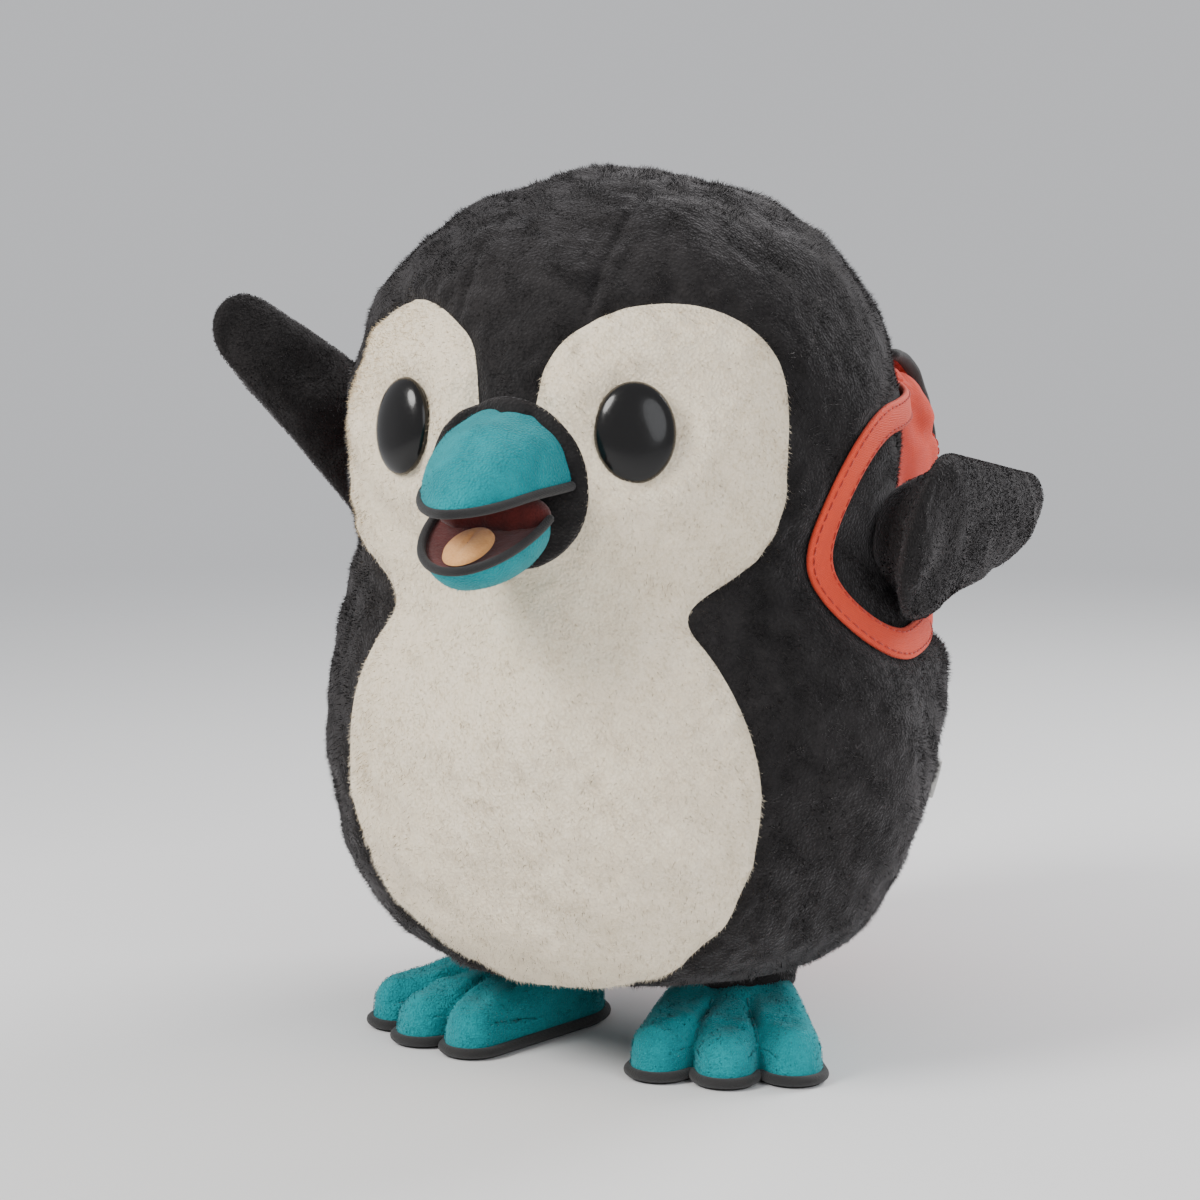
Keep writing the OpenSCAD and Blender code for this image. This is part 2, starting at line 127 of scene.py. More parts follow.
def sample(path, s, want):
    """The path at the wanted lengths, where s are its own points' lengths."""
    return points(*(np.interp(want, s, column) for column in path.T))


class Waves:
    """Smooth random lumps, about 1 high and deep: a sum of plane waves near one wavelength."""

    def __init__(self, wavelength, seed, count=22):
        r = np.random.default_rng(seed)
        d = unit(r.normal(size=(count, 3)))
        self.k = d * (tau / wavelength * r.uniform(0.7, 1.4, (count, 1)))
        self.phase = r.uniform(0, tau, count)
        self.scale = 1.6 / sqrt(count)

    def __call__(self, p):
        return np.sin(p @ self.k.T + self.phase).sum(-1) * self.scale


def oval(z, c, h, r, n):
    t = np.clip(np.abs(z - c) / h, 0, 1)
    return r * (1 - t ** n) ** (1 / n)


def body_r(z, d=0.0):
    """The body's radius at height z, grown by d."""
    belly = oval(z, BELLY_Z, BELLY_Z + d, BELLY_R + d, np.where(z < BELLY_Z, 2.5, 2.0))
    head = oval(z, HEAD_Z, HEAD_H + d, HEAD_R + d, 2.0)
    return (belly ** 12 + head ** 12) ** (1 / 12)


def body_depth(x, z, grow=0.0):
    """How far out the body's surface, grown a little, is at right angles to x, at x and height z."""
    return np.sqrt((body_r(z) + grow) ** 2 - x ** 2)


def body_normal(p):
    x, y, z = p[..., 0], p[..., 1], np.clip(p[..., 2], 0.5, BODY_H - 0.5)
    slope = (body_r(z + 0.25) - body_r(z - 0.25)) / 0.5
    rad = np.hypot(x, y) + 1e-9
    return unit(points(x / rad, y / rad, -slope))


def on_body(angle, z, d=0.0):
    a, r = radians(angle), body_r(z, d)
    return np.array([r * sin(a), -r * cos(a), z])


def raised(base, height):
    """Points on the body, moved straight out of it."""
    return base + body_normal(base) * np.expand_dims(height, -1)


# ---- making meshes ----
def add(name, data):
    ob = bpy.data.objects.new(name, data)
    bpy.context.scene.collection.objects.link(ob)
    return ob


def build(name, mesh, mats, at, index=None):
    """A mesh object from (points, faces), with the points in mm in the frame at."""
    pts, faces = mesh
    if at.determinant() < 0:
        faces = faces[:, ::-1]
    a = np.array(at)
    metres = (pts @ a[:3, :3].T + a[:3, 3]) * 0.001
    n, k = faces.shape
    me = bpy.data.meshes.new(name)
    me.vertices.add(len(pts))
    me.vertices.foreach_set("co", metres.astype(np.float32).ravel())
    me.loops.add(n * k)
    me.loops.foreach_set("vertex_index", faces.ravel().astype(np.int32))
    me.polygons.add(n)
    me.polygons.foreach_set("loop_start", np.arange(0, n * k, k, dtype=np.int32))
    for mat in mats:
        me.materials.append(mat)
    if index is not None:
        me.polygons.foreach_set("material_index", index.astype(np.int32))
    me.update(calc_edges=True)
    me.validate()
    me.polygons.foreach_set("use_smooth", np.ones(len(me.polygons), bool))
    return add(name, me)


def piece(name, mesh, mats, stands_for=(), body="torso", at=LEANED, index=None, slot=None):
    """A visible piece that rides on a body and stands for CAD nodes."""
    mats = mats if isinstance(mats, list) else [mats]
    ob = build(name, mesh, mats, at, index)
    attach(ob, body)
    if stands_for:
        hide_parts(*stands_for)
    return ob


def thicken(ob, thickness, offset, inside=0):
    """Gives a sheet its thickness in mm. inside is its inner side's step in the material list."""
    mod = ob.modifiers.new("cloth", "SOLIDIFY")
    mod.thickness, mod.offset, mod.material_offset = thickness * 0.001, offset, inside


def grid(nu, nv, wrap=False, closed=False):
    """Quads between nu by nv points, stored row by row. wrap closes each row, closed joins last to first."""
    i, j = np.mgrid[0:nv if closed else nv - 1, 0:nu if wrap else nu - 1].reshape(2, -1)
    k, above = (j + 1) % nu, (i + 1) % nv * nu
    return np.stack([i * nu + j, i * nu + k, above + k, above + j], 1)


def sheet(pts, wrap=False):
    """The mesh of a grid of points."""
    nv, nu = pts.shape[:2]
    return pts.reshape(-1, 3), grid(nu, nv, wrap)


def rings(rows, sides):
    """The mesh of ovals from (half width, half depth, height), one over the other."""
    rx, ry, z = np.array(rows).T[:, :, None]
    a = turns(sides)
    return sheet(points(rx * np.cos(a), ry * np.sin(a), z), wrap=True)


def circle(r, z, n=60):
    return points(r * np.cos(turns(n)), r * np.sin(turns(n)), z)


def tube(path, radius, sides=12, closed=False, squash=1.0, up=(0.0, 0.0, 1.0)):
    """The mesh of a round cord along a path, with rounded ends where it isn't closed."""
    up = np.broadcast_to(up, path.shape)
    size = np.ones(len(path))
    if closed:
        tangent = np.roll(path, -1, 0) - np.roll(path, 1, 0)
    else:
        tangent = unit(np.gradient(path, axis=0))
        reach, width = np.array([[0.98], [0.7]]), [0.05, 0.7]
        head = path[0] - tangent[0] * radius * reach
        tail = path[-1] + tangent[-1] * radius * reach[::-1]
        path = np.vstack([head, path, tail])
        up, tangent = (np.pad(v, ((2, 2), (0, 0)), "edge") for v in (up, tangent))
        size = np.concatenate([width, size, width[::-1]])
    tangent = unit(tangent)
    side = unit(np.cross(tangent, up))
    top = np.cross(side, tangent)
    a = turns(sides)[:, None]
    ring = side[:, None] * np.cos(a) + top[:, None] * np.sin(a) * squash
    pts = path[:, None] + ring * (radius * size)[:, None, None]
    return pts.reshape(-1, 3), grid(sides, len(path), True, closed)[:, ::-1]


def soften(path, times):
    """A path with its small kinks taken out."""
    path = path.copy()
    for _ in range(times):
        path[1:-1] = path[1:-1] * 0.5 + (path[:-2] + path[2:]) * 0.25
    return path


def join(meshes):
    """Several (points, faces) as one."""
    pts, faces = zip(*meshes)
    start = np.cumsum([0] + [len(p) for p in pts])
    return np.vstack(pts), np.vstack([f + at for f, at in zip(faces, start)])


def flipped(mesh):
    return mesh[0], mesh[1][:, ::-1]


def tris(quads):
    return np.vstack([quads[:, [0, 1, 2]], quads[:, [0, 2, 3]]])


def vertex_normals(P, T):
    a, b, c = (P[T[:, k]] for k in range(3))
    out = np.cross(b - a, c - a)
    n = np.zeros_like(P)
    for k in range(3):
        np.add.at(n, T[:, k], out)
    return unit(n)


def grid_normals(G):
    pts, quads = sheet(G)
    return vertex_normals(pts, tris(quads)).reshape(G.shape)


def tri_split(P, T, f, fix):
    """Cuts the triangles T along f = 0. Returns points, triangles, and which triangles have f above 0."""
    s = f >= 0
    ts = s[T]
    whole = ts.all(1) | ~ts.any(1)
    mixed, ms = T[~whole], ts[~whole]
    lone = np.where(ms.sum(1) == 1, np.argmax(ms, 1), np.argmin(ms, 1))
    a, b, c = (mixed[np.arange(len(mixed)), (lone + k) % 3] for k in range(3))
    edges = np.sort(np.vstack([points(a, b), points(a, c)]), 1)
    ends, which = np.unique(edges, axis=0, return_inverse=True)
    ab, ac = which.reshape(2, -1) + len(P)
    p, q = ends.T
    w = np.clip(f[p] / (f[p] - f[q]), 0.02, 0.98)[:, None]
    P = np.vstack([P, fix(P[p] * (1 - w) + P[q] * w)])
    above = np.concatenate([ts[whole, 0], s[a], ~s[a], ~s[a]])
    return P, np.vstack([T[whole], points(a, ab, ac), points(ab, b, c), points(ab, c, ac)]), above


# ---- materials ----
class Look:
    """A new material, with short ways to wire its nodes."""

    def __init__(self, name, **sockets):
        self.mat = bpy.data.materials.new(name)
        self.mat.use_nodes = True
        self.tree = self.mat.node_tree
        self.shader = self.tree.nodes["Principled BSDF"]
        self.put(self.shader, sockets)
        self.coords = self.node("TexCoord").outputs["Object"]

    def put(self, node, values):
        """Links a node's sockets, or sets its sockets and settings, by name."""
        for key, value in values.items():
            socket = key.replace("_", " ")
            if socket not in node.inputs:
                setattr(node, key, value)
            elif isinstance(value, bpy.types.NodeSocket):
                self.tree.links.new(value, node.inputs[socket])
            else:
                node.inputs[socket].default_value = value

    def node(self, kind, **values):
        n = self.tree.nodes.new("ShaderNode" + kind)
        self.put(n, values)
        return n

    def ramp(self, value, lo, hi, out_lo=0.0, out_hi=1.0):
        return self.node("MapRange", clamp=True, From_Min=lo, From_Max=hi, To_Min=out_lo, To_Max=out_hi,
                         Value=value).outputs["Result"]

    def noise(self, scale, detail=3.0, rough=0.6):
        return self.node("TexNoise", Scale=scale, Detail=detail, Roughness=rough,
                         Vector=self.coords).outputs["Fac"]

    def calc(self, op, *values):
        n = self.node("Math", operation=op)
        for socket, v in zip(n.inputs, values):
            if isinstance(v, float):
                socket.default_value = v
            else:
                self.tree.links.new(v, socket)
        return n.outputs[0]

    def total(self, *terms):
        """The sum of values, each given with its weight."""
        result = 0.0
        for value, weight in terms:
            result = self.calc("MULTIPLY_ADD", value, weight, result)
        return result

    def tones(self, low, high, shade):
        """The base colour, from low to high as shade goes from 0 to 1."""
        mix = self.node("Mix", data_type="RGBA", A=(*low, 1), B=(*high, 1), Factor=shade)
        self.put(self.shader, {"Base_Color": mix.outputs["Result"]})

    def bump(self, *layers):
        """Layers of (height, strength, distance in metres), one over the other."""
        below = {}
        for height, strength, distance in layers:
            n = self.node("Bump", Strength=strength, Distance=distance, Height=height, **below)
            below = {"Normal": n.outputs["Normal"]}
        self.put(self.shader, below)


def fur_mat(name, low, high, sheen, tint, pile=900.0, depth=1.0):
    """Short plush pile: clumps, small tufts and a soft sheen."""
    look = Look(name, Roughness=0.95, Specular_IOR_Level=0.12, Sheen_Weight=sheen, Sheen_Roughness=0.45,
                Sheen_Tint=(*tint, 1))
    tufts = look.node("TexVoronoi", Scale=pile, Vector=look.coords).outputs["Distance"]
    fine, clump, broad = look.noise(pile * 1.7, 2.0), look.noise(95.0, 4.0, 0.65), look.noise(16.0, 2.0)
    shade = look.ramp(look.total((clump, 0.55), (broad, 0.45)), 0.32, 0.68)
    look.tones(low, high, look.total((shade, 1.0), (tufts, -0.35)))
    look.bump((clump, 0.5 * depth, 0.0020 * depth), (tufts, 0.7, 0.0006), (fine, 0.5, 0.0005))
    return look.mat


def pile_mat(name, colour, sheen, tint):
    """The loose fibres that stand on the plush, one even colour."""
    return Look(name, Base_Color=(*colour, 1), Roughness=0.85, Specular_IOR_Level=0.15, Sheen_Weight=sheen,
                Sheen_Roughness=0.4, Sheen_Tint=(*tint, 1)).mat


def weave_mat(name, low, high, pitch, rough=0.8, sheen=0.15):
    """Plain woven cloth: threads pitch mm apart from crossed waves, slubs and broad changes of tone."""
    look = Look(name, Specular_IOR_Level=0.3, Sheen_Weight=sheen, Sheen_Roughness=0.5)
    x, y, z = (look.node("TexWave", bands_direction=way, wave_profile="SIN", Scale=1000 / (pitch * pi),
                         Distortion=0.6, Detail=1.0, Vector=look.coords).outputs["Fac"] for way in "XYZ")
    across = look.calc("SUBTRACT", look.calc("ADD", x, y), 1.0)
    thread = look.ramp(look.calc("MULTIPLY", across, look.calc("SUBTRACT", z, 0.5)), -0.25, 0.25)
    broad, slub = look.noise(22.0, 3.0), look.noise(420.0, 2.0)
    look.tones(low, high, look.total((look.ramp(broad, 0.3, 0.7), 0.5), (look.ramp(slub, 0.3, 0.7), 0.25),
                                     (thread, 0.25)))
    look.put(look.shader, {"Roughness": look.ramp(slub, 0.2, 0.8, rough - 0.1, min(rough + 0.1, 1.0))})
    look.bump((broad, 0.25, 0.002), (thread, 0.6, 0.0004), (slub, 0.3, 0.0003))
    return look.mat


def felt_mat(name, low, high):
    """Matted fibres without a weave."""
    look = Look(name, Roughness=0.95, Specular_IOR_Level=0.1, Sheen_Weight=0.3)
    fibre, broad = look.noise(1400.0, 4.0, 0.75), look.noise(120.0, 3.0)
    look.tones(low, high, look.ramp(look.total((fibre, 0.6), (broad, 0.4)), 0.35, 0.65))
    look.bump((broad, 0.4, 0.0012), (fibre, 0.7, 0.0004))
    return look.mat


def hard_mat(name, colour, rough, metal=0.0, coat=0.0, specular=0.5):
    """Moulded plastic or metal, with faint unevenness and handling marks."""
    look = Look(name, Metallic=metal, Coat_Weight=coat, Coat_Roughness=0.03, Specular_IOR_Level=specular)
    broad, fine = look.noise(60.0, 3.0), look.noise(900.0, 2.0)
    look.tones([c * 0.9 for c in colour], colour, broad)
    look.put(look.shader, {"Roughness": look.ramp(fine, 0.3, 0.7, rough * 0.8, rough * 1.25)})
    look.bump((broad, 0.1, 0.0004))
    return look.mat


# Each plush is its cloth and its loose fibres.
BLACK = (fur_mat("black_plush", (0.013, 0.012, 0.012), (0.034, 0.031, 0.031), 0.22, (0.75, 0.72, 0.74)),
         pile_mat("black_pile", (0.030, 0.027, 0.027), 0.25, (0.8, 0.77, 0.78)))
CREAM = (fur_mat("cream_plush", (0.89, 0.765, 0.575), (0.95, 0.84, 0.66), 0.25, (1.0, 0.93, 0.82), depth=0.5),
         pile_mat("cream_pile", (0.955, 0.835, 0.645), 0.3, (1.0, 0.94, 0.84)))
TEAL = (fur_mat("teal_fleece", (0.006, 0.21, 0.24), (0.014, 0.36, 0.40), 0.25, (0.55, 0.95, 1.0), pile=1300.0,
                depth=0.45),
        pile_mat("teal_pile", (0.012, 0.34, 0.38), 0.25, (0.6, 0.95, 1.0)))
RED_CANVAS = weave_mat("red_canvas", (0.56, 0.030, 0.013), (0.82, 0.070, 0.028), 0.62, 0.78, sheen=0.08)
RED_WEB = weave_mat("red_webbing", (0.64, 0.042, 0.017), (0.86, 0.092, 0.036), 0.8, 0.7, sheen=0.08)
RED_LINING = weave_mat("red_lining", (0.36, 0.022, 0.012), (0.52, 0.042, 0.020), 0.5, 0.6, sheen=0.08)
BLACK_TAPE = weave_mat("black_binding", (0.010, 0.010, 0.010), (0.034, 0.032, 0.032), 0.55, 0.75)
MAROON_FELT = felt_mat("maroon_felt", (0.060, 0.010, 0.009), (0.150, 0.026, 0.022))
PEACH_FELT = felt_mat("peach_felt", (0.72, 0.30, 0.09), (0.92, 0.50, 0.20))
EYE = hard_mat("eye_plastic", (0.005, 0.0045, 0.0045), 0.2, coat=0.15, specular=0.3)
PLASTIC = hard_mat("joint_plastic", (0.66, 0.62, 0.54), 0.42)
METAL = hard_mat("snap_metal", (0.62, 0.60, 0.56), 0.28, metal=1.0)
THREAD_RED = felt_mat("red_thread", (0.40, 0.030, 0.020), (0.55, 0.055, 0.035))
THREAD_TEAL = felt_mat("teal_thread", (0.004, 0.15, 0.17), (0.008, 0.22, 0.25))
LABEL = weave_mat("label_satin", (0.74, 0.72, 0.68), (0.88, 0.86, 0.82), 0.35, 0.4, sheen=0.1)
FILL = felt_mat("polyester_fill", (0.78, 0.77, 0.74), (0.92, 0.91, 0.88))
CLOTH = weave_mat("bag_cloth", (0.70, 0.66, 0.58), (0.84, 0.80, 0.72), 0.7, 0.9)
GRAIN = felt_mat("pellets", (0.36, 0.41, 0.45), (0.52, 0.57, 0.61))


# ---- loose pile ----
brush_broad, brush_fine = Waves(60, 21), Waves(14, 22)
PLUSH = {"density": 2.6, "width": 0.27, "tilt": 0.9}
FLEECE = {"density": 1.4, "width": 0.26, "tilt": 0.8}


def pile(name, mesh, normals, mat, body, at, seed, density, length, width, tilt=0.9, down=(0.0, 0.0, -1.0),
         messy=1.0, skip=None):
    """Fibres as single-triangle blades that lean along down, with lengths in mm and density per square mm."""
    P, T = mesh
    r = np.random.default_rng(seed)
    A, B, C = (P[T[:, k]] for k in range(3))
    area = 0.5 * np.linalg.norm(np.cross(B - A, C - A), axis=1)
    count = int(area.sum() * density * (1.0))
    t = T[r.choice(len(T), count, p=area / area.sum())]
    u, v = r.random(count), r.random(count)
    outside = u + v > 1
    u[outside], v[outside] = 1 - u[outside], 1 - v[outside]
    w = np.stack([1 - u - v, u, v])[:, :, None]
    base, n = (w[0] * q[t[:, 0]] + w[1] * q[t[:, 1]] + w[2] * q[t[:, 2]] for q in (P, normals))
    n = unit(n)
    if skip is not None:
        keep = ~skip(base)
        base, n = base[keep], n[keep]
    flow = unit(np.array(down) - n * (n @ np.array(down))[:, None])
    turn = messy * (1.1 * brush_broad(base) + 0.5 * brush_fine(base))[:, None]
    flow = flow * np.cos(turn) + np.cross(n, flow) * np.sin(turn)
    lean = tilt * (1.0 + 0.45 * messy * brush_fine(base + 31.0))[:, None]
    blade = unit(n + flow * lean + r.normal(size=base.shape) * 0.42)
    side = unit(np.cross(blade, n + r.normal(size=base.shape) * 0.6)) * width / 2
    size = length * r.uniform(0.6, 1.1, (len(base), 1))
    size = size * (1.0 + 0.18 * messy * brush_fine(base - 57.0))[:, None]
    root = base - n * 0.5
    pts = np.stack([root - side, root + side, root + blade * size], 1).reshape(-1, 3)
    ob = piece(name, (pts, np.arange(len(pts)).reshape(-1, 3)), mat, body=body, at=at)
    # The blades are shaded like the cloth that they stand on.
    shading = np.repeat(n, 3, axis=0) @ np.array(at)[:3, :3].T
    ob.data.normals_split_custom_set_from_vertices(shading.astype(np.float32).tolist())


def furry(kind, name, mesh, plush, stands_for, body="torso", at=LEANED, fill=None, normals=None, **fibres):
    """A plush piece, and the pile that stands on it. Its fill is not used."""
    ob = piece(f"{kind}_{name}", mesh, plush[0], stands_for, body, at)
    if fibres:
        pts, faces = mesh
        T = faces if faces.shape[1] == 3 else tris(faces)
        normals = vertex_normals(pts, T) if normals is None else normals
        pile("pile_" + name, (pts, T), normals, plush[1], body, at, **fibres)


# ---- the body's outlines ----
GUSSET = 22.0
STRAP_Z, STRAP_LOOP, STRAP_W, STRAP_T = 160.0, 37.0, 10.0, 2.4
EYE_AT = {s: on_body(s * EYE_ANGLE, EYE_Z) for s in SIDE}
SHOULDER_AT = {s: on_body((90 + BACK[s]) * s, SHOULDER_Z) for s in SIDE}
lump_big, lump_mid, lump_small = Waves(70, 3), Waves(26, 4), Waves(9, 5)
pucker = Waves(9.5, 6)


def face_field(x, z):
    """Negative inside the pale face and belly, seen from the front."""
    ax = np.abs(x)
    belly = np.hypot(x, z - 88) - 74
    lobe = softmin(np.hypot(ax - 42, z - 205) - 36, np.hypot(ax - 34, z - 188) - 44, 6)
    neck = np.maximum(ax - 40, np.abs(z - 172) - 33)
    pale = softmin(softmin(lobe, belly, 12), neck, 4)
    peak = np.maximum(ax - 9.0 - np.clip((z - 200) * 0.12, 0, 9), BEAK_Z - z)
    return -softmin(-pale, peak, 6)


def strap_field(P):
    """Distance from the middle line of the shoulder strap on the same side of the body."""
    b = radians(BACK[-1])
    y = np.where(P[:, 0] < 0, P[:, 1] * cos(b) + P[:, 0] * sin(b), P[:, 1])
    z = P[:, 2] - STRAP_Z
    return np.where(y < 0, np.abs(np.hypot(y, z) - STRAP_LOOP), np.abs(np.abs(z) - STRAP_LOOP))


def to_surface(P):
    """Back onto the body's own surface, at the same height and bearing."""
    grow = body_r(np.clip(P[:, 2], 0, BODY_H)) / (np.hypot(P[:, 0], P[:, 1]) + 1e-9)
    return P * points(grow, grow, 1.0)


def world_z(P):
    return P[:, 1] * sin(radians(LEAN)) + P[:, 2] * cos(radians(LEAN)) + BODY_AT[2]


def seam_distance(P, eps=0.4):
    """How far each point is from the seam round the face, measured along the surface, and from the others."""
    x, y, z = P.T
    f = face_field(x, z)
    fx = (face_field(x + eps, z) - face_field(x - eps, z)) / (2 * eps)
    fz = (face_field(x, z + eps) - face_field(x, z - eps)) / (2 * eps)
    g, n = points(fx, 0.0, fz), body_normal(P)
    g -= n * (g * n).sum(1)[:, None]
    front = np.where(y < 15, np.abs(f) / np.maximum(np.linalg.norm(g, axis=1), 0.15), 99.0)
    dark = (f >= 0) | (y >= 0)
    gusset = np.where((z > BEAK_Z - 4) & dark, np.abs(np.abs(x) - GUSSET), 99.0)
    middle = np.where((z < BEAK_Z) & dark, np.abs(x), 99.0)
    return front, np.minimum(gusset, middle)


def body_panels():
    """The body's points, and each panel's triangles."""
    nu, nv = ((520, 360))
    # Even steps along the meridian.
    z = (1 - np.cos(np.linspace(0, pi, 3000))) / 2 * BODY_H
    meridian = points(z, body_r(z))
    s = lengths(meridian)
    z = sample(meridian, s, np.linspace(0, s[-1], nv))[:, :1]
    z[0], z[-1] = 0.02, BODY_H - 0.02
    a, r = turns(nu), body_r(z)
    P, T = sheet(points(r * np.sin(a), -r * np.cos(a), z), wrap=True)
    T = tris(T)
    # Each cut takes off the part where its field is negative. The base is cut level with the ground.
    cuts = {
        "base_panel": lambda P: world_z(P) - BASE_Z,
        "front_panel": lambda P: np.where(P[:, 1] < 0, face_field(P[:, 0], P[:, 2]), 9.0),
        "head_gusset": lambda P: np.maximum(np.abs(P[:, 0]) - GUSSET, BEAK_Z - P[:, 2]),
        "right_side_panel": lambda P: P[:, 0] + 1e-4,
    }
    panels = {}
    for name, field in cuts.items():
        P, T, rest = tri_split(P, T, field(P), to_surface)
        panels[name], T = T[~rest], T[rest]
    panels["left_side_panel"] = T
    return P, panels


def dress_body(P):
    """Stuffing lumps, seams pulled in with their puckers, and the eye sockets."""
    front, other = seam_distance(P)
    seam = np.minimum(front, other)
    h = 0.9 * lump_big(P) + 0.45 * lump_mid(P) + 0.12 * lump_small(P) + 0.5
    h += -1.3 * bell(seam / 1.9) - 0.8 * bell(seam / 8.0) + 0.28 * pucker(P) * bell((seam - 4.5) / 4.0)
    # Straps press a shallow channel, and the pack flattens the back.
    under = bell(np.where(np.abs(P[:, 0]) > 30, strap_field(P), 99.0) / 7.0, 4)
    h = h * (1 - under) - 0.9 * under
    behind = smooth(P[:, 1], 50, 62) * smooth(70 - np.abs(P[:, 0]), 0, 8)
    behind *= smooth(P[:, 2], 44, 52) * smooth(206 - P[:, 2], 0, 8)
    h = h * (1 - behind) - 0.6 * behind
    for centre in EYE_AT.values():
        d = np.linalg.norm(P - centre, axis=1)
        h += 1.0 * bell((d - 23.0) / 6.0) - 2.0 * bell(d / 17.0, 4)
    # The beak's root is pulled in a little, and the cheeks stand out beside it.
    d = np.hypot(P[:, 0], P[:, 2] - BEAK_Z)
    h += smooth(-P[:, 1], 40, 60) * (-1.4 * bell(d / 27.0, 6) + 0.8 * bell((d - 40) / 12.0))
    # Under the shoulder collars the skin stays clear.
    for centre in SHOULDER_AT.values():
        d = np.linalg.norm(P - centre, axis=1)
        h = h * (1 - bell(d / 26.0, 4)) - 0.4 * bell(d / 24.0, 4)
    # The skin never sinks into the filling.
    h = np.where(h < -1.0, np.exp(np.minimum(h + 1.0, 0.0)) - 2.0, h)
    Q = raised(P, h)
    # The underside is drawn flat over the base, with a rounded edge.
    wz = world_z(Q)
    lift = np.logaddexp((wz - BASE_Z) / 1.6, 0) * 1.6 + BASE_Z - wz
    return Q + np.outer(lift, [0, sin(radians(LEAN)), cos(radians(LEAN))])


def body_skip(P):
    """Where no loose pile stands: under the eyes, the beak's patch, the straps, the pack and the collars."""
    x, y, z = P.T
    no = (np.hypot(x, z - BEAK_Z) < 25.5) & (y < -40)
    no |= (strap_field(P) < 5.4) & (np.abs(x) > 30) & (y < 80)
    no |= (y > 52) & (np.abs(x) < 66) & (z > 47) & (z < 204)
    no |= world_z(P) < 32
    for s in SIDE:
        no |= np.linalg.norm((P - EYE_AT[s]) * [1.25, 1.0, 1.0], axis=1) < 14.2
        no |= np.linalg.norm(P - SHOULDER_AT[s], axis=1) < 15
    return no


# ---- body ----
P0, panels = body_panels()
P1 = dress_body(P0)
N1 = vertex_normals(P1, np.vstack(list(panels.values())))
body_pile = {"skip": body_skip, "length": 2.3, **PLUSH}
PANEL = {
    "front_panel": (CREAM, {**body_pile, "seed": 40, "tilt": 1.2, "messy": 0.35}),
    "head_gusset": (BLACK, {**body_pile, "seed": 41}),
    "left_side_panel": (BLACK, {**body_pile, "seed": 42}),
    "right_side_panel": (BLACK, {**body_pile, "seed": 43}),
    "base_panel": (BLACK, {}),
}
for name, (plush, fibres) in PANEL.items():
    used, T = np.unique(panels[name], return_inverse=True)
    furry("plush", name, (P1[used], T.reshape(-1, 3)), plush, [name], fill=0.85, normals=N1[used], **fibres)


# ---- eyes ----
EYE_W, EYE_H = 12.6, 15.6


def surface_frame(angle, z, d):
    """A frame on the body: Z points straight out, Y up along it."""
    p = on_body(angle, z, d)
    n = Vector(body_normal(p))
    up = (Vector((0, 0, 1)) - n * n.z).normalized()
    return LEANED @ shift(*p) @ Matrix((up.cross(n), up, n)).transposed().to_4x4()


def eye(side):
    """A domed oval of plastic, whose edge goes into the plush."""
    rows = [(EYE_W * v, EYE_H * v, 5.0 * (1 - v ** 2.3) ** 0.55 - 0.2) for v in np.linspace(0.001, 1, 26)]
    rows += [(EYE_W - 1.2 * v, EYE_H - 1.2 * v, -0.2 - 2.6 * v) for v in np.linspace(0, 1, 7)[1:]]
    name = SIDE[side] + "_eye"
    piece("shiny_" + name, rings(rows, 72), EYE, [name], at=surface_frame(side * EYE_ANGLE, EYE_Z, -0.1))


for side in SIDE:
    eye(side)

# ---- beak ----
PATCH_R = 27.0
BEAK_ROOT, BEAK_R, BEAK_FULL, BEAK_TAPER, BEAK_DROOP = 78.0, 24.0, 58.0, 0.6, -2.5
HINGE_Y, HINGE_Z = 103.0, 179.2
LOWER = LEANED @ shift(0, -HINGE_Y, HINGE_Z) @ rot("X", 20.0)
LOWER_R, LOWER_LEN, LOWER_TAPER = 19.0, 33.0, 0.5


def beak_patch():
    """The black patch that the beak is sewn to, lying on the face."""
    rows = [(PATCH_R * v, 1.9 * (1 - v ** 14) ** 0.5) for v in np.linspace(0.02, 1, 26)] + [(PATCH_R, -1.0)]
    rad, rise = np.array(rows).T[:, :, None]
    x, z = rad * np.cos(turns(120)), BEAK_Z + rad * np.sin(turns(120))
    base, quads = sheet(points(x, -body_depth(x, z), z), wrap=True)
    pts = dress_body(base) + body_normal(base) * np.repeat(rise, 120)[:, None]
    return pts, quads[:, ::-1]


def upper_beak():
    a = np.linspace(0, pi, 90)
    s = np.sin(np.linspace(0, 1, 70) * pi / 2)[:, None]
    r = BEAK_R * (1 - s ** 2) ** BEAK_TAPER
    crease = bell((a - pi / 2) / 0.06) * 0.5 * (r / BEAK_R)
    z = BEAK_Z + 1.0 + r * 0.98 * np.sin(a) ** 0.92 - crease + BEAK_DROOP * smooth(s, 0.5, 1.0)
    pts, quads = sheet(points(r * np.cos(a), -BEAK_ROOT - BEAK_FULL * s, z))
    pts[:, 2] += 0.25 * lump_mid(pts * 1.7) * smooth(pts[:, 2], BEAK_Z + 1, BEAK_Z + 8)
    return pts, quads


def lower_beak():
    a = np.linspace(0, pi, 90)
    s = np.sin(np.linspace(0, 1, 60) * pi / 2)[:, None]
    r = LOWER_R * (1 - s ** 2) ** LOWER_TAPER
    cup = points(r * np.cos(a), -LOWER_LEN * s, -r * 0.95 * np.sin(a) ** 0.9)
    # The back is closed and tucked in.
    v = np.array([[0.02], [0.3], [0.6], [0.86]])
    back = points(cup[0, :, 0] * v, 2.2 * (1 - v) ** 0.5, cup[0, :, 2] * v - 1.4)
    pts, quads = sheet(np.vstack([back, cup]))
    pts[:, 2] += 0.2 * lump_mid(pts * 1.7 + 50)
    return pts, quads[:, ::-1]


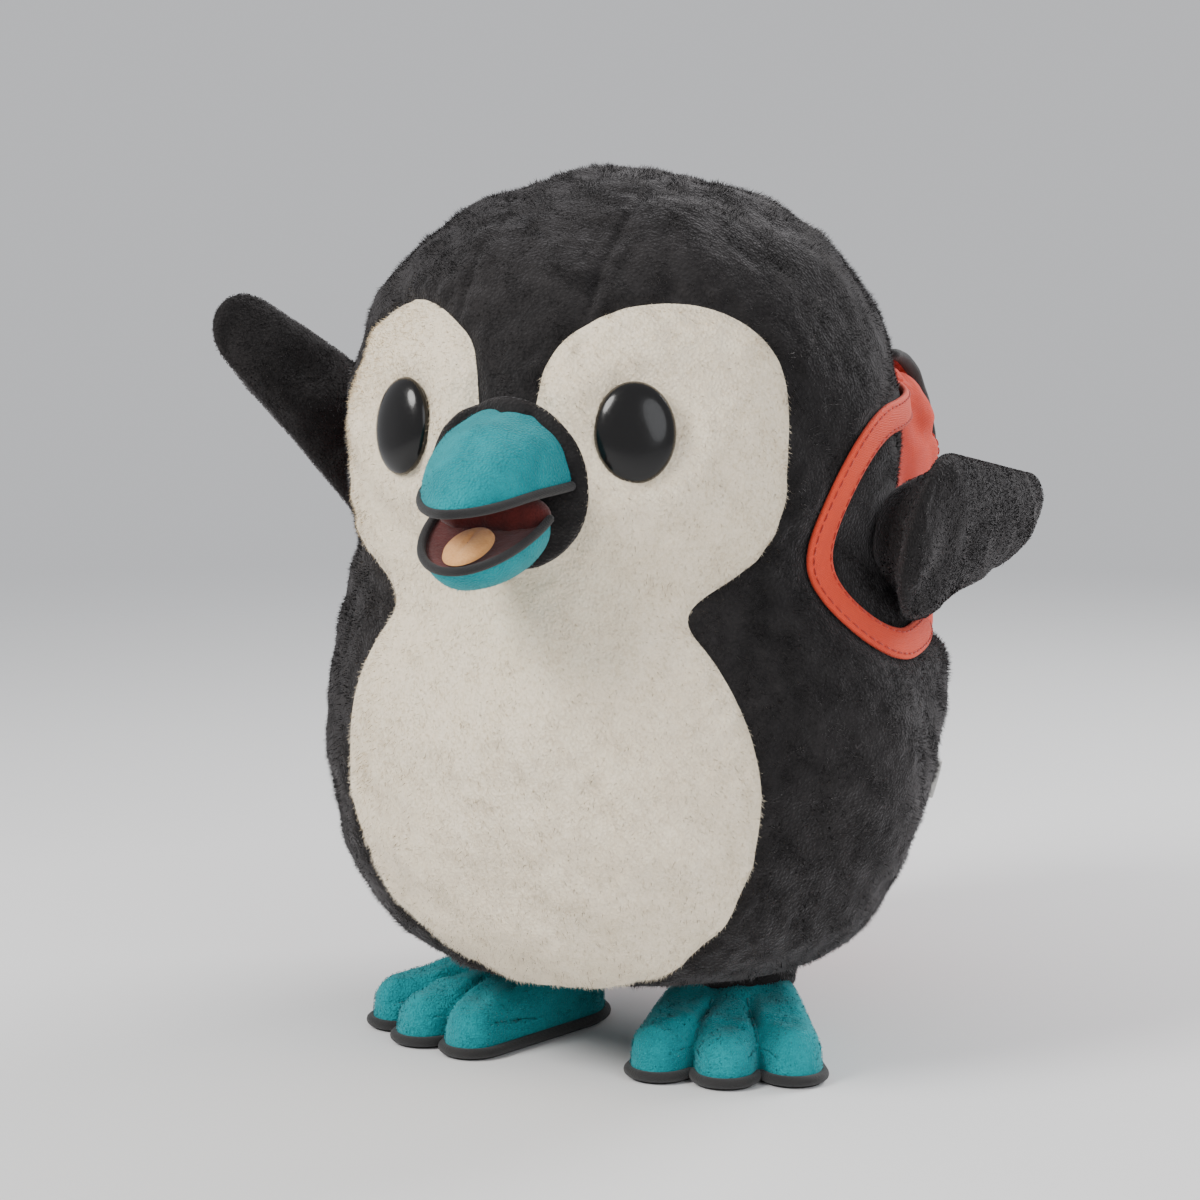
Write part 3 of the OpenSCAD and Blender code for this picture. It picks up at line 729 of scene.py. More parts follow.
def rim_path(radius, length, taper, y0, z0, droop, n=90):
    """Along the edge of a half beak, from one root round the tip to the other."""
    v = np.linspace(-1, 1, n)
    s = np.sin((1 - np.abs(v)) * pi / 2)
    r = radius * (1 - s ** 2) ** taper
    return points(np.sign(v) * r, y0 - length * s, z0 + droop * smooth(s, 0.5, 1.0))


def flat_fan(path, rise, crown):
    """A cloth that closes the outline of a half beak."""
    path = np.vstack([path, path[:1]])
    c = np.array([0.0, (path[:, 1].max() + path[:, 1].min()) / 2, path[:, 2].mean()])
    v = np.linspace(0.02, 1, 16)[:, None, None]
    return sheet(c + (path - c) * v + np.array([0, 0, 1]) * (rise + crown * (1 - v ** 2)))


def mouth_fold():
    """The fold of dark cloth that joins the two halves of the beak."""
    a, v = turns(44), np.linspace(-1, 1, 60)[:, None]
    r = 6.7 * (1 - np.abs(v) ** 3.4) ** 0.5 + 0.05
    r = r * (1 + 0.05 * np.sin(7 * v + 2 * a) + 0.03 * np.sin(19 * v - a))
    return sheet(points(18.8 * v, 1.0 - r * np.cos(a), r * np.sin(a)), wrap=True)


def tongue():
    a, v = turns(60), np.linspace(0.02, 1, 18)[:, None]
    x, y = 7.4 * v * np.cos(a), -18.5 + 11.0 * v * np.sin(a)
    groove = 0.9 * bell(x) * (1 - v)
    return sheet(points(x, y, 2.6 * (1 - v ** 2.6) ** 0.5 - 0.5 - groove), wrap=True)


piece("felt_beak_surround", beak_patch(), BLACK[0], ["beak_surround"])
furry("fleece", "upper_beak", upper_beak(), TEAL, ["upper_beak_cover", "upper_beak_stuffing"], fill=0.9,
      length=1.1, seed=61, down=(0.0, -1.0, 0.0), skip=lambda q: q[:, 1] > -92, **FLEECE)
path = rim_path(BEAK_R + 0.2, BEAK_FULL, BEAK_TAPER, -BEAK_ROOT, BEAK_Z + 0.7, BEAK_DROOP)
path = path[path[:, 1] < -81]
piece("piping_upper_beak", tube(path, 1.5, 10), BLACK_TAPE)
x = np.linspace(21, -21, 18)
root = points(x, -np.sqrt((HEAD_R - 2) ** 2 - x ** 2), BEAK_Z + 0.7)
piece("felt_mouth_roof", flat_fan(np.vstack([path, root]), -0.2, 0.0), MAROON_FELT, ["mouth_roof"])

lower = {"body": "lower_beak", "at": LOWER}
furry("fleece", "lower_beak", lower_beak(), TEAL, ["lower_beak_cover", "lower_beak_stuffing"], fill=0.9,
      length=1.1, seed=62, down=(0.0, -1.0, 0.0), skip=lambda q: q[:, 1] > -3, **FLEECE, **lower)
path = rim_path(LOWER_R + 0.2, LOWER_LEN, LOWER_TAPER, 0, -0.4, 0)
piece("piping_lower_beak", tube(path, 1.4, 10), BLACK_TAPE, **lower)
piece("felt_mouth_floor", flat_fan(path, -0.5, -1.6), MAROON_FELT, ["mouth_floor"], **lower)
piece("felt_mouth_fold", mouth_fold(), MAROON_FELT, **lower)
piece("felt_tongue", tongue(), PEACH_FELT, ["tongue"], **lower)


# ---- flippers ----
FIN_MID, FIN_T, FIN_C = 18.0, 8.6, 37.0


def leaf_polar(centre, root_r, tip_r, reach, n):
    """The outline round two circles, as n bearings and distances from the centre."""
    taper = asin((root_r - tip_r) / reach)
    a = np.linspace(pi / 2 - taper, 3 * pi / 2 + taper, 200)
    b = np.linspace(taper - pi / 2, pi / 2 - taper, 120)
    root = points(root_r * np.cos(a), root_r * np.sin(a))
    tip = points(reach + tip_r * np.cos(b), tip_r * np.sin(b))
    step = np.linspace(0, 1, 160)[1:-1, None]
    there, back = (p + (q - p) * step for p, q in ((root[-1], tip[0]), (tip[-1], root[0])))
    x, y = (np.vstack([root, there, tip, back]) - [centre, 0]).T
    bearing = np.mod(np.arctan2(y, x), tau)
    order = np.argsort(bearing)
    return turns(n), np.interp(turns(n), bearing[order], np.hypot(x, y)[order], period=tau)


def flipper(side):
    """Both faces of a flipper, which meet in a seam round its edge."""
    nu, nv = ((360, 96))
    a, rad = leaf_polar(FIN_C, 27.5, 14.0, 90.0, nu)
    s = np.sin(np.linspace(0.004, 1, nv) * pi / 2)[:, None]
    x, y, edge = FIN_C + s * rad * np.cos(a), s * rad * np.sin(a), (1 - s) * rad
    thick = FIN_T * np.sqrt(1 - s ** 2.2) * (0.86 + 0.14 * np.cos((x - 30) / 45))
    curl = 0.6 * 0.0011 * np.maximum(x, 0) ** 2
    hub = smooth(23 - np.hypot(x, y), 0, 13)
    body = SIDE[side] + "_flipper"
    for face, label, more in ((1, "outer", [body + "_stuffing"]), (-1, "inner", [])):
        # The inner face is drawn down to the shoulder's disc.
        drawn = hub if face < 0 else 0.0
        z = (FIN_MID + face * thick) * (1 - drawn) + 1.4 * drawn
        key = points(x + 200 * side, y, z)
        lift = 0.55 * lump_mid(key) + 0.3 * lump_big(key) + 0.25 * pucker(key) * bell((edge - 4.0) / 3.5)
        z = z + face * lift * smooth(edge, 0, 4) * (1 - drawn) + curl
        if face > 0:
            z -= 0.4 * bell(edge / 1.5)
        pts, quads = sheet(points(x, y, z), wrap=True)
        name = f"{body}_{label}"
        furry("plush", name, (pts, quads[:, ::face]), BLACK, [name] + more, body, flipper_frame(side), 0.7,
              length=2.0, seed=80 + face + 5 * side, down=(1.0, 0.0, 0.0), **PLUSH,
              skip=lambda q: q[:, 2] < 5.5)


for side in SIDE:
    flipper(side)

# ---- feet ----
HEEL_R, TOE_R, TOE_REACH, TOE_SPREAD = 21.0, 9.5, 52.0, 25.0
TOE_LINES = [(k, k * radians(TOE_SPREAD / 2)) for k in (-1, 1)]
# The leg's radius and height, from the foot's top to the body.
LEG = ((20.2, 20.5), (20.9, 22.5), (21.2, 24.5), (21.0, 26.5), (20.2, 28.2), (18.6, 29.2), (15.0, 29.6),
       (8.0, 29.7), (3.6, 29.7))


def foot_polar(n, grow=0.0):
    """The outline of heel and three toes, as n bearings and distances from the ankle."""
    best = np.zeros(n)
    a, rad = leaf_polar(0.0, HEEL_R + grow, TOE_R + grow, TOE_REACH, 1440)
    for k in (-1, 0, 1):
        turned = np.mod(a + radians(k * TOE_SPREAD), tau)
        best = np.maximum(best, np.interp(turns(n), turned, rad, period=tau))
    return turns(n) - pi / 2, best


def foot_top(side):
    """The top of a foot as a grid of points, from the ankle out to the sole's edge."""
    nu, nv, fine = ((480, 80, 26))
    a, rad = foot_polar(nu)
    near = 1 - 0.14 * (1 - np.linspace(0, 1, fine + 1)[1:]) ** 1.7
    s = np.concatenate([np.linspace(0.01, 0.86, nv - fine), near])
    ox, oy = rad * np.cos(a), rad * np.sin(a)
    x, y = np.outer(s, ox), np.outer(s, oy)
    edge = np.array([np.hypot(p[:, None] - ox, q[:, None] - oy).min(1) for p, q in zip(x, y)])
    edge[-1] = 0
    crown = np.sqrt(1 - (1 - np.minimum(edge / 8.5, 1)) ** 2.2)
    slope = np.clip((-y - 18) / (TOE_REACH - 8), 0, 1)
    z = 2.0 + (22.5 - 9.5 * slope ** 0.85) * (0.30 * smooth(edge, -0.01, 1.2) + 0.70 * crown)
    # Two rows of stitching part the toes.
    ang, far = np.arctan2(x, -y), np.hypot(x, y)
    for k, b in TOE_LINES:
        line = bell(far * np.sin(ang - b) / 1.9) * (np.cos(ang - k * 0.22) > 0)
        z -= 3.0 * line * smooth(far, 24, 34) * (1 - smooth(far, 47, 50))
    key = points(x + 150 * side, y, z + 40)
    return points(x, y, z + (0.35 * lump_mid(key * 1.5) + 0.15 * lump_small(key)) * smooth(edge, 1, 6))


def toe_stitches(top):
    """Five stitches in each line between the toes, lying on the foot's top."""
    parts = []
    for _, b in TOE_LINES:
        for r0 in 27 + 4.4 * np.arange(5):
            r = np.linspace(r0, r0 + 2.9, 6)
            x, y = r * sin(b), -r * cos(b)
            nearest = np.argmin((top[:, :1] - x) ** 2 + (top[:, 1:2] - y) ** 2, axis=0)
            parts.append(tube(points(x, y, top[nearest, 2] + np.sin(np.linspace(0, pi, 6)) * 0.5), 0.42, 8))
    return join(parts)


def leg():
    step = np.linspace(0, len(LEG) - 1, 5 * len(LEG) - 4)
    r, z = (np.interp(step, np.arange(len(LEG)), column)[:, None] for column in np.array(LEG).T)
    r = r + 0.25 * np.sin(turns(96) * 17 + z) * (z < 28.5)
    return sheet(points(r * np.cos(turns(96)), r * np.sin(turns(96)), z), wrap=True)


def foot(side):
    name = SIDE[side] + "_foot"
    on = {"body": name, "at": foot_frame(side)}
    top = sheet(foot_top(side), wrap=True)
    furry("fleece", name + "_top", top, TEAL, [name + "_top", name + "_stuffing"], fill=0.85, length=1.2,
          seed=90 + side, down=(0.0, -1.0, -0.4), **FLEECE, **on,
          skip=lambda q: (q[:, 2] < 4.6) | (np.hypot(q[:, 0], q[:, 1]) < 18))
    a, rad = foot_polar(360, 0.6)
    edge = points(rad * np.cos(a), rad * np.sin(a), 2.5)
    piece("piping_" + name, tube(edge, 1.75, 12, closed=True), BLACK_TAPE, [name + "_piping"], **on)
    piece("stitches_" + name, toe_stitches(top[0]), THREAD_TEAL, **on)
    name = SIDE[side] + "_leg_cover"
    furry("plush", name, leg(), BLACK, [name], **on, density=1.4, length=1.8, width=0.34, seed=95 + side,
          skip=lambda q: q[:, 2] > 28.3)


for side in SIDE:
    foot(side)

# ---- backpack ----
PACK_LOW, PACK_HALF, PACK_FRONT, PACK_BACK = 50.0, 64.0, 80.0, 146.0
CROWN_R, CROWN_Z, CORNER = 46.0, 156.0, 22.0
CROWN_Y, PACK_TOP = PACK_BACK - CROWN_R, CROWN_Z + CROWN_R
FLAP_Y, FLAP_LOW, FLAP_HALF, FLAP_CORNER = CROWN_Y + 4.5, 112.0, 60.0, 10.0
MOUTH_X, MOUTH_Z, MOUTH_Y = 52.0, CROWN_Z + 3.0, FLAP_Y + 6.0
SNAP_Z = 122.0
CORDS = (PACK_LOW + 2.0, 67.6, 87.6)
pack_wave, pack_crease = Waves(48, 11), Waves(17, 12)


def pack_back_y(z):
    """How far back the pack reaches at height z, with its top rounded over."""
    return CROWN_Y + np.sqrt(CROWN_R ** 2 - np.maximum(z - CROWN_Z, 0) ** 2)


def pack_ring(z, n):
    """The pack's outline at height z, from one side seam round the back to the other, evenly spaced."""
    back = pack_back_y(z)
    x, y = PACK_HALF - CORNER, back - CORNER
    a = np.linspace(0, pi / 2, 40)[1:]
    half = np.vstack([points(PACK_HALF, np.linspace(body_depth(PACK_HALF, z, 0.5), y, 60)),
                      points(x + CORNER * np.cos(a), y + CORNER * np.sin(a)),
                      points(np.linspace(x, 0, 60)[1:], back)])
    whole = np.vstack([half, (half * [-1, 1])[-2::-1]])
    s = lengths(whole)
    return sample(whole, s, np.linspace(0, s[-1], n))


def pack_walls(nu, nv):
    """The bag's walls from its lower edge to its top, as a grid of points."""
    low = int(nv * 0.64)
    over = CROWN_Z + CROWN_R * np.sin(np.linspace(0, 1, nv - low + 1)[1:] * pi / 2 * 0.985)
    levels = np.concatenate([np.linspace(PACK_LOW, CROWN_Z, low), over])
    return np.stack([points(*pack_ring(z, nu).T, z) for z in levels])


def settle(G, pins, grow, push, limit, seed, frames=26):
    """How far each point of a pinned cloth moves, in mm, when it is slightly too big for its place."""
    nv, nu = G.shape[:2]
    scale = 0.01
    start = G.reshape(-1, 3) + np.random.default_rng(seed).normal(size=(nu * nv, 3)) * 0.15
    me = bpy.data.meshes.new("settling")
    me.from_pydata((start * scale).tolist(), [], grid(nu, nv).tolist())
    ob = add("settling", me)
    group = ob.vertex_groups.new(name="pin")
    for i in np.flatnonzero(pins > 0.001).tolist():
        group.add([i], float(pins.flat[i]), "REPLACE")
    mod = ob.modifiers.new("cloth", "CLOTH")
    cloth = {"quality": 5, "mass": 0.25, "tension_stiffness": 18, "compression_stiffness": 18,
             "shear_stiffness": 8, "bending_stiffness": 0.35, "vertex_group_mass": "pin", "shrink_min": -grow,
             "use_pressure": True, "uniform_pressure_force": push}
    for key, value in cloth.items():
        setattr(mod.settings, key, value)
    mod.settings.effector_weights.gravity = 0.15
    mod.collision_settings.use_collision = False
    mod.collision_settings.use_self_collision = False
    mod.point_cache.frame_start, mod.point_cache.frame_end = 1, frames
    for k in range(1, frames + 1):
        bpy.context.scene.frame_set(k)
    settled = ob.evaluated_get(bpy.context.evaluated_depsgraph_get())
    co = np.empty(nu * nv * 3, np.float32)
    settled.data.vertices.foreach_get("co", co)
    bpy.context.scene.frame_set(1)
    bpy.data.objects.remove(ob)
    bpy.data.meshes.remove(me)
    move = co.reshape(-1, 3) / scale - G.reshape(-1, 3)
    move[~np.isfinite(move).all(1)] = 0
    size = np.linalg.norm(move, axis=1)[:, None] + 1e-9
    return (move / size * limit * np.tanh(size / limit)).reshape(G.shape)


def refine(A, nv, nu):
    """A grid of vectors, made finer with smooth interpolation."""
    def along(a, n):
        last = len(a) - 1
        t = np.linspace(0, last, n)
        i = np.clip(t.astype(int), 0, last - 1)
        f = (t - i)[:, None, None]
        p0, p1, p2, p3 = (a[np.clip(i + k, 0, last)] for k in (-1, 0, 1, 2))
        curve = (2 * p0 - 5 * p1 + 4 * p2 - p3) * f ** 2 + (3 * p1 - p0 - 3 * p2 + p3) * f ** 3
        return 0.5 * (2 * p1 + (p2 - p0) * f + curve)
    return along(along(A, nv).transpose(1, 0, 2), nu).transpose(1, 0, 2)


def creased(rough, pins, waves, fine, **cloth):
    """Settles a rough grid of cloth that starts with some waves, and carries its creases to a fine grid."""
    start = rough + grid_normals(rough) * (waves * (1 - pins))[..., None]
    move = settle(start, pins, **cloth) + start - rough
    return refine(move, *fine.shape[:2])


def under_flap(x, y, z):
    """1 where the flap lies on the bag's wall, fading to 0 round it."""
    back = smooth(y, FLAP_Y - 2, FLAP_Y + 3)
    return smooth(FLAP_HALF + 2.5 - np.abs(x), 0, 3) * smooth(z, FLAP_LOW - 4, FLAP_LOW) * back


def mouth_distance(x, y, z):
    """How far a point on the bag's wall is outside its mouth, in mm; below zero it is inside."""
    return np.max([np.abs(x) - MOUTH_X, MOUTH_Z - z, MOUTH_Y - y], axis=0)


def pouch():
    """The bag's walls: points, quads, and the same points and their normals as grids."""
    rough = pack_walls(96, 66)
    x, y, z = np.moveaxis(rough, -1, 0)
    cords = np.max([bell((z - c) / 2.2) for c in CORDS], axis=0)
    # The cloth is held at the penguin's back, at both ends, by the cords and a little by the flap.
    pins = smooth(PACK_FRONT - y, 0, 8) + smooth(PACK_LOW + 4 - z, 0, 3)
    pins += smooth(z, PACK_TOP - 6, PACK_TOP - 2) + 0.9 * cords
    pins = np.maximum(np.clip(pins, 0, 1), 0.25 * under_flap(x, y, z))
    base = pack_walls(*(((340, 230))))
    move = creased(rough, pins, 0.7 * pack_wave(rough) + 0.5 * pack_crease(rough), base,
                   grow=0.075, push=1.2, limit=4.2, seed=5)
    n = grid_normals(base)
    x, y, z = np.moveaxis(base, -1, 0)
    cover = under_flap(x, y, z)
    highest = np.where(cover > 0.02, 0.3 + 4.0 * (1 - cover), 9.0)
    rise = (move * n).sum(2)
    move += n * (np.minimum(rise, highest) - rise)[..., None]
    # The cloth lies calm round the snap's socket and along the mouth.
    snap = smooth(12 - np.hypot(x, z - SNAP_Z), 0, 4) * smooth(y, PACK_BACK - 16, PACK_BACK - 6)
    outside = mouth_distance(x, y, z)
    move *= (1 - np.maximum(snap, smooth(10 - outside, 0, 8)))[..., None]
    # The cords and the seams between the back and the sides draw it in.
    seam = bell((np.abs(x) - (PACK_HALF - 6.5)) / 1.3) * smooth(y, CROWN_Y - 4, CROWN_Y)
    cords = np.sum([bell((z - c) / 2.0) for c in CORDS], axis=0)
    cords *= smooth(y, PACK_FRONT + 2, PACK_FRONT + 12)
    move -= n * (0.5 * snap + 0.8 * cords + 0.9 * seam)[..., None]
    pts, quads = sheet(base + move)
    return pts, quads[outside.reshape(-1)[quads].mean(1) >= 0], base + move, n


def pack_level(z, sag):
    """The floor or the top of the bag, from the penguin's back to the bag's own outline."""
    half, back = PACK_HALF - 0.8, pack_back_y(z) - 0.8
    x, v = np.linspace(-half, half, 130), np.linspace(0, 1, 50)[:, None]
    past = np.maximum(np.abs(x) - (half - CORNER), 0)
    near = body_depth(x, z, 0.6)
    far = back - CORNER + np.sqrt(np.maximum(CORNER ** 2 - past ** 2, 0))
    y, bow = near + (far - near) * v, np.sin(v * pi)
    z = z + bow * (sag * np.cos(x / half * pi / 2) + 0.6 * pack_crease(points(x, y, z)))
    level = sheet(points(x, y, z))
    return level if sag > 0 else flipped(level)


def back_lining():
    """The cloth between the pack's inside and the penguin's back."""
    x, z = np.linspace(1 - PACK_HALF, PACK_HALF - 1, 80), np.linspace(PACK_LOW, PACK_TOP, 60)[:, None]
    return sheet(points(x, body_depth(x, z, 1.4), z))


def mouth_hem():
    """A folded edge all round the bag's mouth, lying on its wall."""
    start, end = asin((MOUTH_Y - CROWN_Y) / CROWN_R), acos((MOUTH_Z - CROWN_Z) / CROWN_R)
    x, a = np.linspace(-MOUTH_X, MOUTH_X, 90), np.linspace(start, end, 60)
    sides = (points(x, start), points(MOUTH_X, a), points(x, end)[::-1], points(-MOUTH_X, a)[::-1])
    x, a = np.vstack([side[:-1] for side in sides]).T
    out = points(0.0, np.sin(a), np.cos(a))
    return tube(points(x, CROWN_Y, CROWN_Z) + out * (CROWN_R - 0.5), 2.1, 12, True, 0.55, out)


def row_at(z):
    return int(np.argmin(np.abs(PACK_G[:, 0, 2] - z)))


def pack_cord(z):
    """A piped cord along one level of the bag."""
    n = PACK_N[row_at(z)]
    path = PACK_G[row_at(z)] + n
    path[:, 2] = z + 0.5 * (path[:, 2] - path[:, 2].mean())
    return tube(soften(path[2:-2], 12), 1.9, 12, up=n[2:-2])


def stitches(path, normal, pitch=3.4, length=2.3, radius=0.27, lift=0.12):
    """A row of sewing stitches along a path that lies on cloth."""
    s = lengths(path)
    parts = []
    for s0 in np.arange(0.8, s[-1] - length, pitch):
        w = np.linspace(s0, s0 + length, 5)
        n = unit(sample(normal, s, w))
        hump = lift + 0.2 * np.sin(np.linspace(0, pi, 5))
        parts.append(tube(sample(path, s, w) + n * hump[:, None], radius, 6, up=n))
    return join(parts)


def pack_stitches():
    """Rows beside the cords, up both back corners, and along the edges that are sewn to the back."""
    low, mid, high = CORDS
    levels = (low + 4.6, mid - 4.2, mid + 4.2, high - 4.2, high + 4.2)
    rows = [(row_at(z), slice(4, -4)) for z in levels]
    middle = PACK_G[row_at(100)]
    back = np.where(middle[:, 1] > CROWN_Y)[0]
    for x in (PACK_HALF - 3.0, 3.0 - PACK_HALF):
        rows.append((slice(2, row_at(PACK_TOP - 8)), back[np.argmin(np.abs(middle[back, 0] - x))]))
    rows += [(slice(2, -4), 5), (slice(2, -4), len(middle) - 6)]
    return join([stitches(PACK_G[row], PACK_N[row]) for row in rows])


def back_seam():
    """The welt along the bag's four edges on the penguin's back."""
    parts = [tube(PACK_G[:, j] + PACK_N[:, j] * 0.3, 1.7, 10, up=PACK_N[:, j]) for j in (0, -1)]
    x = np.linspace(-PACK_HALF, PACK_HALF, 60)
    for z in (PACK_LOW, PACK_TOP):
        parts.append(tube(points(x, body_depth(x, z, 0.8), z), 1.7, 10))
    return join(parts)


pts, quads, PACK_G, PACK_N = pouch()
pouch_ob = piece("canvas_pack_pouch", (pts, quads), [RED_CANVAS, RED_LINING], ["pack_pouch"])
thicken(pouch_ob, 2.2, -1.0, inside=1)
ends = join([pack_level(PACK_LOW + 0.5, -0.8), pack_level(PACK_TOP - 0.3, 0.8)])
pack_ends = piece("canvas_pack_ends", ends, RED_CANVAS)
pack_lining = piece("canvas_pack_back", back_lining(), RED_LINING)
hem = piece("hem_pack_mouth", mouth_hem(), RED_CANVAS)
piece("piping_pack", join([pack_cord(z) for z in CORDS]), BLACK_TAPE, ["pack_piping"])
piece("stitches_pack", pack_stitches(), THREAD_RED)
seam = piece("seam_pack_back", back_seam(), RED_CANVAS)


def flap_middle(nu, nv):
    """The middle of the flap's cloth, from its sewn edge over the crown and down the back."""
    start = asin((FLAP_Y - CROWN_Y) / CROWN_R)
    arc, r = CROWN_R * (pi / 2 - start), CROWN_R + 2.7
    s = np.linspace(0, arc + CROWN_Z - FLAP_LOW, nv)[:, None]
    past = np.maximum(s - (s[-1] - FLAP_CORNER), 0)
    half = FLAP_HALF - FLAP_CORNER + np.sqrt(np.maximum(FLAP_CORNER ** 2 - past ** 2, 0))
    phi = start + np.minimum(s, arc) / CROWN_R
    z = CROWN_Z + r * np.cos(phi) - np.maximum(s - arc, 0)
    return points(half * np.linspace(-1, 1, nu), CROWN_Y + r * np.sin(phi), z)


def flap(n=64):
    """The flap's middle surface and its normals, as grids."""
    rough = flap_middle(n, n)
    t, u = np.linspace(0, 1, n)[:, None], np.abs(np.linspace(-1, 1, n))
    near = bell(np.hypot(rough[..., 0], rough[..., 2] - SNAP_Z) / 8.0, 4)
    pins = np.clip(smooth(0.06 - t, 0, 0.04) + near, 0, 1)
    pins = np.maximum(pins, 0.6 * np.maximum(smooth(u, 0.9, 0.99), smooth(t, 0.93, 0.99)))
    base = flap_middle(*(((190, 220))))
    move = creased(rough, pins, 0.4 * pack_crease(rough + 70), base, grow=0.025, push=0.9, limit=3.0, seed=9)
    out = grid_normals(base)
    rise = (move * out).sum(2)
    G = base + move + out * (np.maximum(rise, -0.5) - rise)[..., None]
    return G, grid_normals(G)


def two_layers(G, n, half):
    """A closed cloth on both sides of the grid G: its mesh, and which quads are the inner layer's."""
    inner, outer = sheet(G - n * half), sheet(G + n * half)
    k = len(inner[0])
    ids = np.arange(k).reshape(G.shape[:2])
    rim = np.concatenate([ids[:-1, 0], ids[-1, :-1], ids[:0:-1, -1], ids[0, :0:-1]])
    after = np.roll(rim, -1)
    edge = points(rim, after, after + k, rim + k)
    faces = np.vstack([inner[1][:, ::-1], outer[1] + k, edge])
    return (np.vstack([inner[0], outer[0]]), faces), np.arange(len(faces)) < len(inner[1])


def flap_rim(inset):
    """Down one side of the flap, along its lower edge and up the other side."""
    nv, nu = FLAP_G.shape[:2]
    path = [(i, inset) for i in range(2, nv - inset)]
    path += [(nv - 1 - inset, j) for j in range(inset + 1, nu - inset)]
    path += [(i, nu - 1 - inset) for i in range(nv - 2 - inset, 1, -1)]
    i, j = np.array(path).T
    return FLAP_G[i, j], FLAP_N[i, j]


FLAP_G, FLAP_N = flap()
mesh, index = two_layers(FLAP_G, FLAP_N, 1.2)
flap_ob = piece("canvas_pack_flap", mesh, [RED_CANVAS, RED_LINING], ["pack_flap"], "pack_flap", index=index)
rim, rim_n = flap_rim(0)
binding = tube(soften(rim, 40), 2.7, 14, squash=0.74, up=soften(rim_n, 90))
flap_binding = piece("binding_pack_flap", binding, BLACK_TAPE, ["flap_binding"], "pack_flap")
rim, rim_n = flap_rim(8)
flap_stitches = piece("stitches_pack_flap", stitches(rim + rim_n * 1.2, rim_n), THREAD_RED, body="pack_flap")

SNAP = LEANED @ shift(0, PACK_BACK, SNAP_Z) @ rot("X", -90)
dome = [(6.0 * v, 6.0 * v, 5.4 + 2.6 * (1 - v ** 2.4) ** 0.5) for v in np.linspace(0.02, 1, 14)]
cap = join([rings(dome + [(6.0, 6.0, 3.9)], 48), tube(circle(5.2, 5.7), 0.7, 8, closed=True)])
piece("metal_snap_cap", cap, METAL, ["snap_cap"], "pack_flap", SNAP)
piece("metal_snap_rim", tube(circle(4.1, 0.25), 0.75, 8, closed=True), METAL, at=SNAP)


# ---- straps ----
def on_side(side, y, z, height):
    """Points on the body's side, raised by height."""
    return raised(points(body_depth(y, z) * side, y, z), height)


def strap_line(side):
    """The strap's middle line as (y, z): both ends run in under the edges of the pack."""
    ends = []
    for z in (STRAP_Z + STRAP_LOOP, STRAP_Z - STRAP_LOOP):
        ends.append(body_r(z) * cos(asin((PACK_HALF - 1.5) / body_r(z)) + radians(BACK[side])))
    a = np.linspace(0, pi, 150)
    return np.vstack([points(np.linspace(ends[0], 0, 70), STRAP_Z + STRAP_LOOP),
                      points(-STRAP_LOOP * np.sin(a), STRAP_Z + STRAP_LOOP * np.cos(a))[1:],
                      points(np.linspace(0, ends[1], 70), STRAP_Z - STRAP_LOOP)[1:]])


def strap(side):
    line = strap_line(side)
    ty, tz = unit(np.gradient(line, axis=0)).T
    across = points(-tz, ty)
    # A rounded flat section, wider than it is thick.
    b = turns(22)
    w = STRAP_W / 2 * np.sign(np.cos(b)) * np.abs(np.cos(b)) ** 0.55
    h = STRAP_T * (0.5 + 0.5 * np.sign(np.sin(b)) * np.abs(np.sin(b)) ** 0.6) - 0.2
    y, z = np.moveaxis(line[:, None] + across[:, None] * w[:, None], -1, 0)
    mesh = sheet(on_side(side, y, z, h), wrap=True)
    name = SIDE[side] + "_strap"
    turned = LEANED @ rot("Z", -BACK[side])
    piece("webbing_" + name, flipped(mesh) if side > 0 else mesh, RED_WEB, [name], at=turned)
    # Two rows of stitching along the strap.
    parts = []
    for off in (-3.4, 3.4):
        row = line + across * off
        s = lengths(row)
        for s0 in np.arange(2, s[-1] - 4, 3.6):
            y, z = sample(row, s, np.linspace(s0, s0 + 2.3, 5)).T
            parts.append(tube(on_side(side, y, z, 2.15 + 0.22 * np.sin(np.linspace(0, pi, 5))), 0.26, 6))
    piece("stitches_" + name, join(parts), THREAD_RED, at=turned, slot="red_webbing")


for side in SIDE:
    strap(side)


# ---- care label ----
def label():
    """A blank label that stands out of the side seam and curls back."""
    seam = radians(38)
    u = np.linspace(0, 1, 24)[:, None]
    z = 58.5 + np.linspace(-6.5, 6.5, 20) - 1.5 * u
    r, bend = body_r(z) - 1.5 + 14.0 * u, 2.5 * np.sin(u * 2.4)
    return sheet(points(r * cos(seam) - bend * sin(seam), r * sin(seam) + bend * cos(seam), z))


label_ob = piece("satin_care_label", label(), LABEL, ["care_label"])
thicken(label_ob, 0.7, 0.0)

# ---- materials for the CAD nodes that keep their shape ----
STAY = {
    "body_stuffing": FILL, "ballast_bag": CLOTH, "ballast_pellets": GRAIN, "eye_washers": PLASTIC,
    "shoulder_washers": PLASTIC, "ankle_washers": PLASTIC, "snap_socket": METAL,
}
for side in SIDE.values():
    STAY[side + "_foot_sole"] = BLACK_TAPE
    for inner in ("shoulder_stud", "shoulder_lock", "ankle_stud", "ankle_lock"):
        STAY[f"{side}_{inner}"] = PLASTIC
for name, mat in STAY.items():
    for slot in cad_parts[name].material_slots:
        slot.link = "OBJECT"
        slot.material = mat


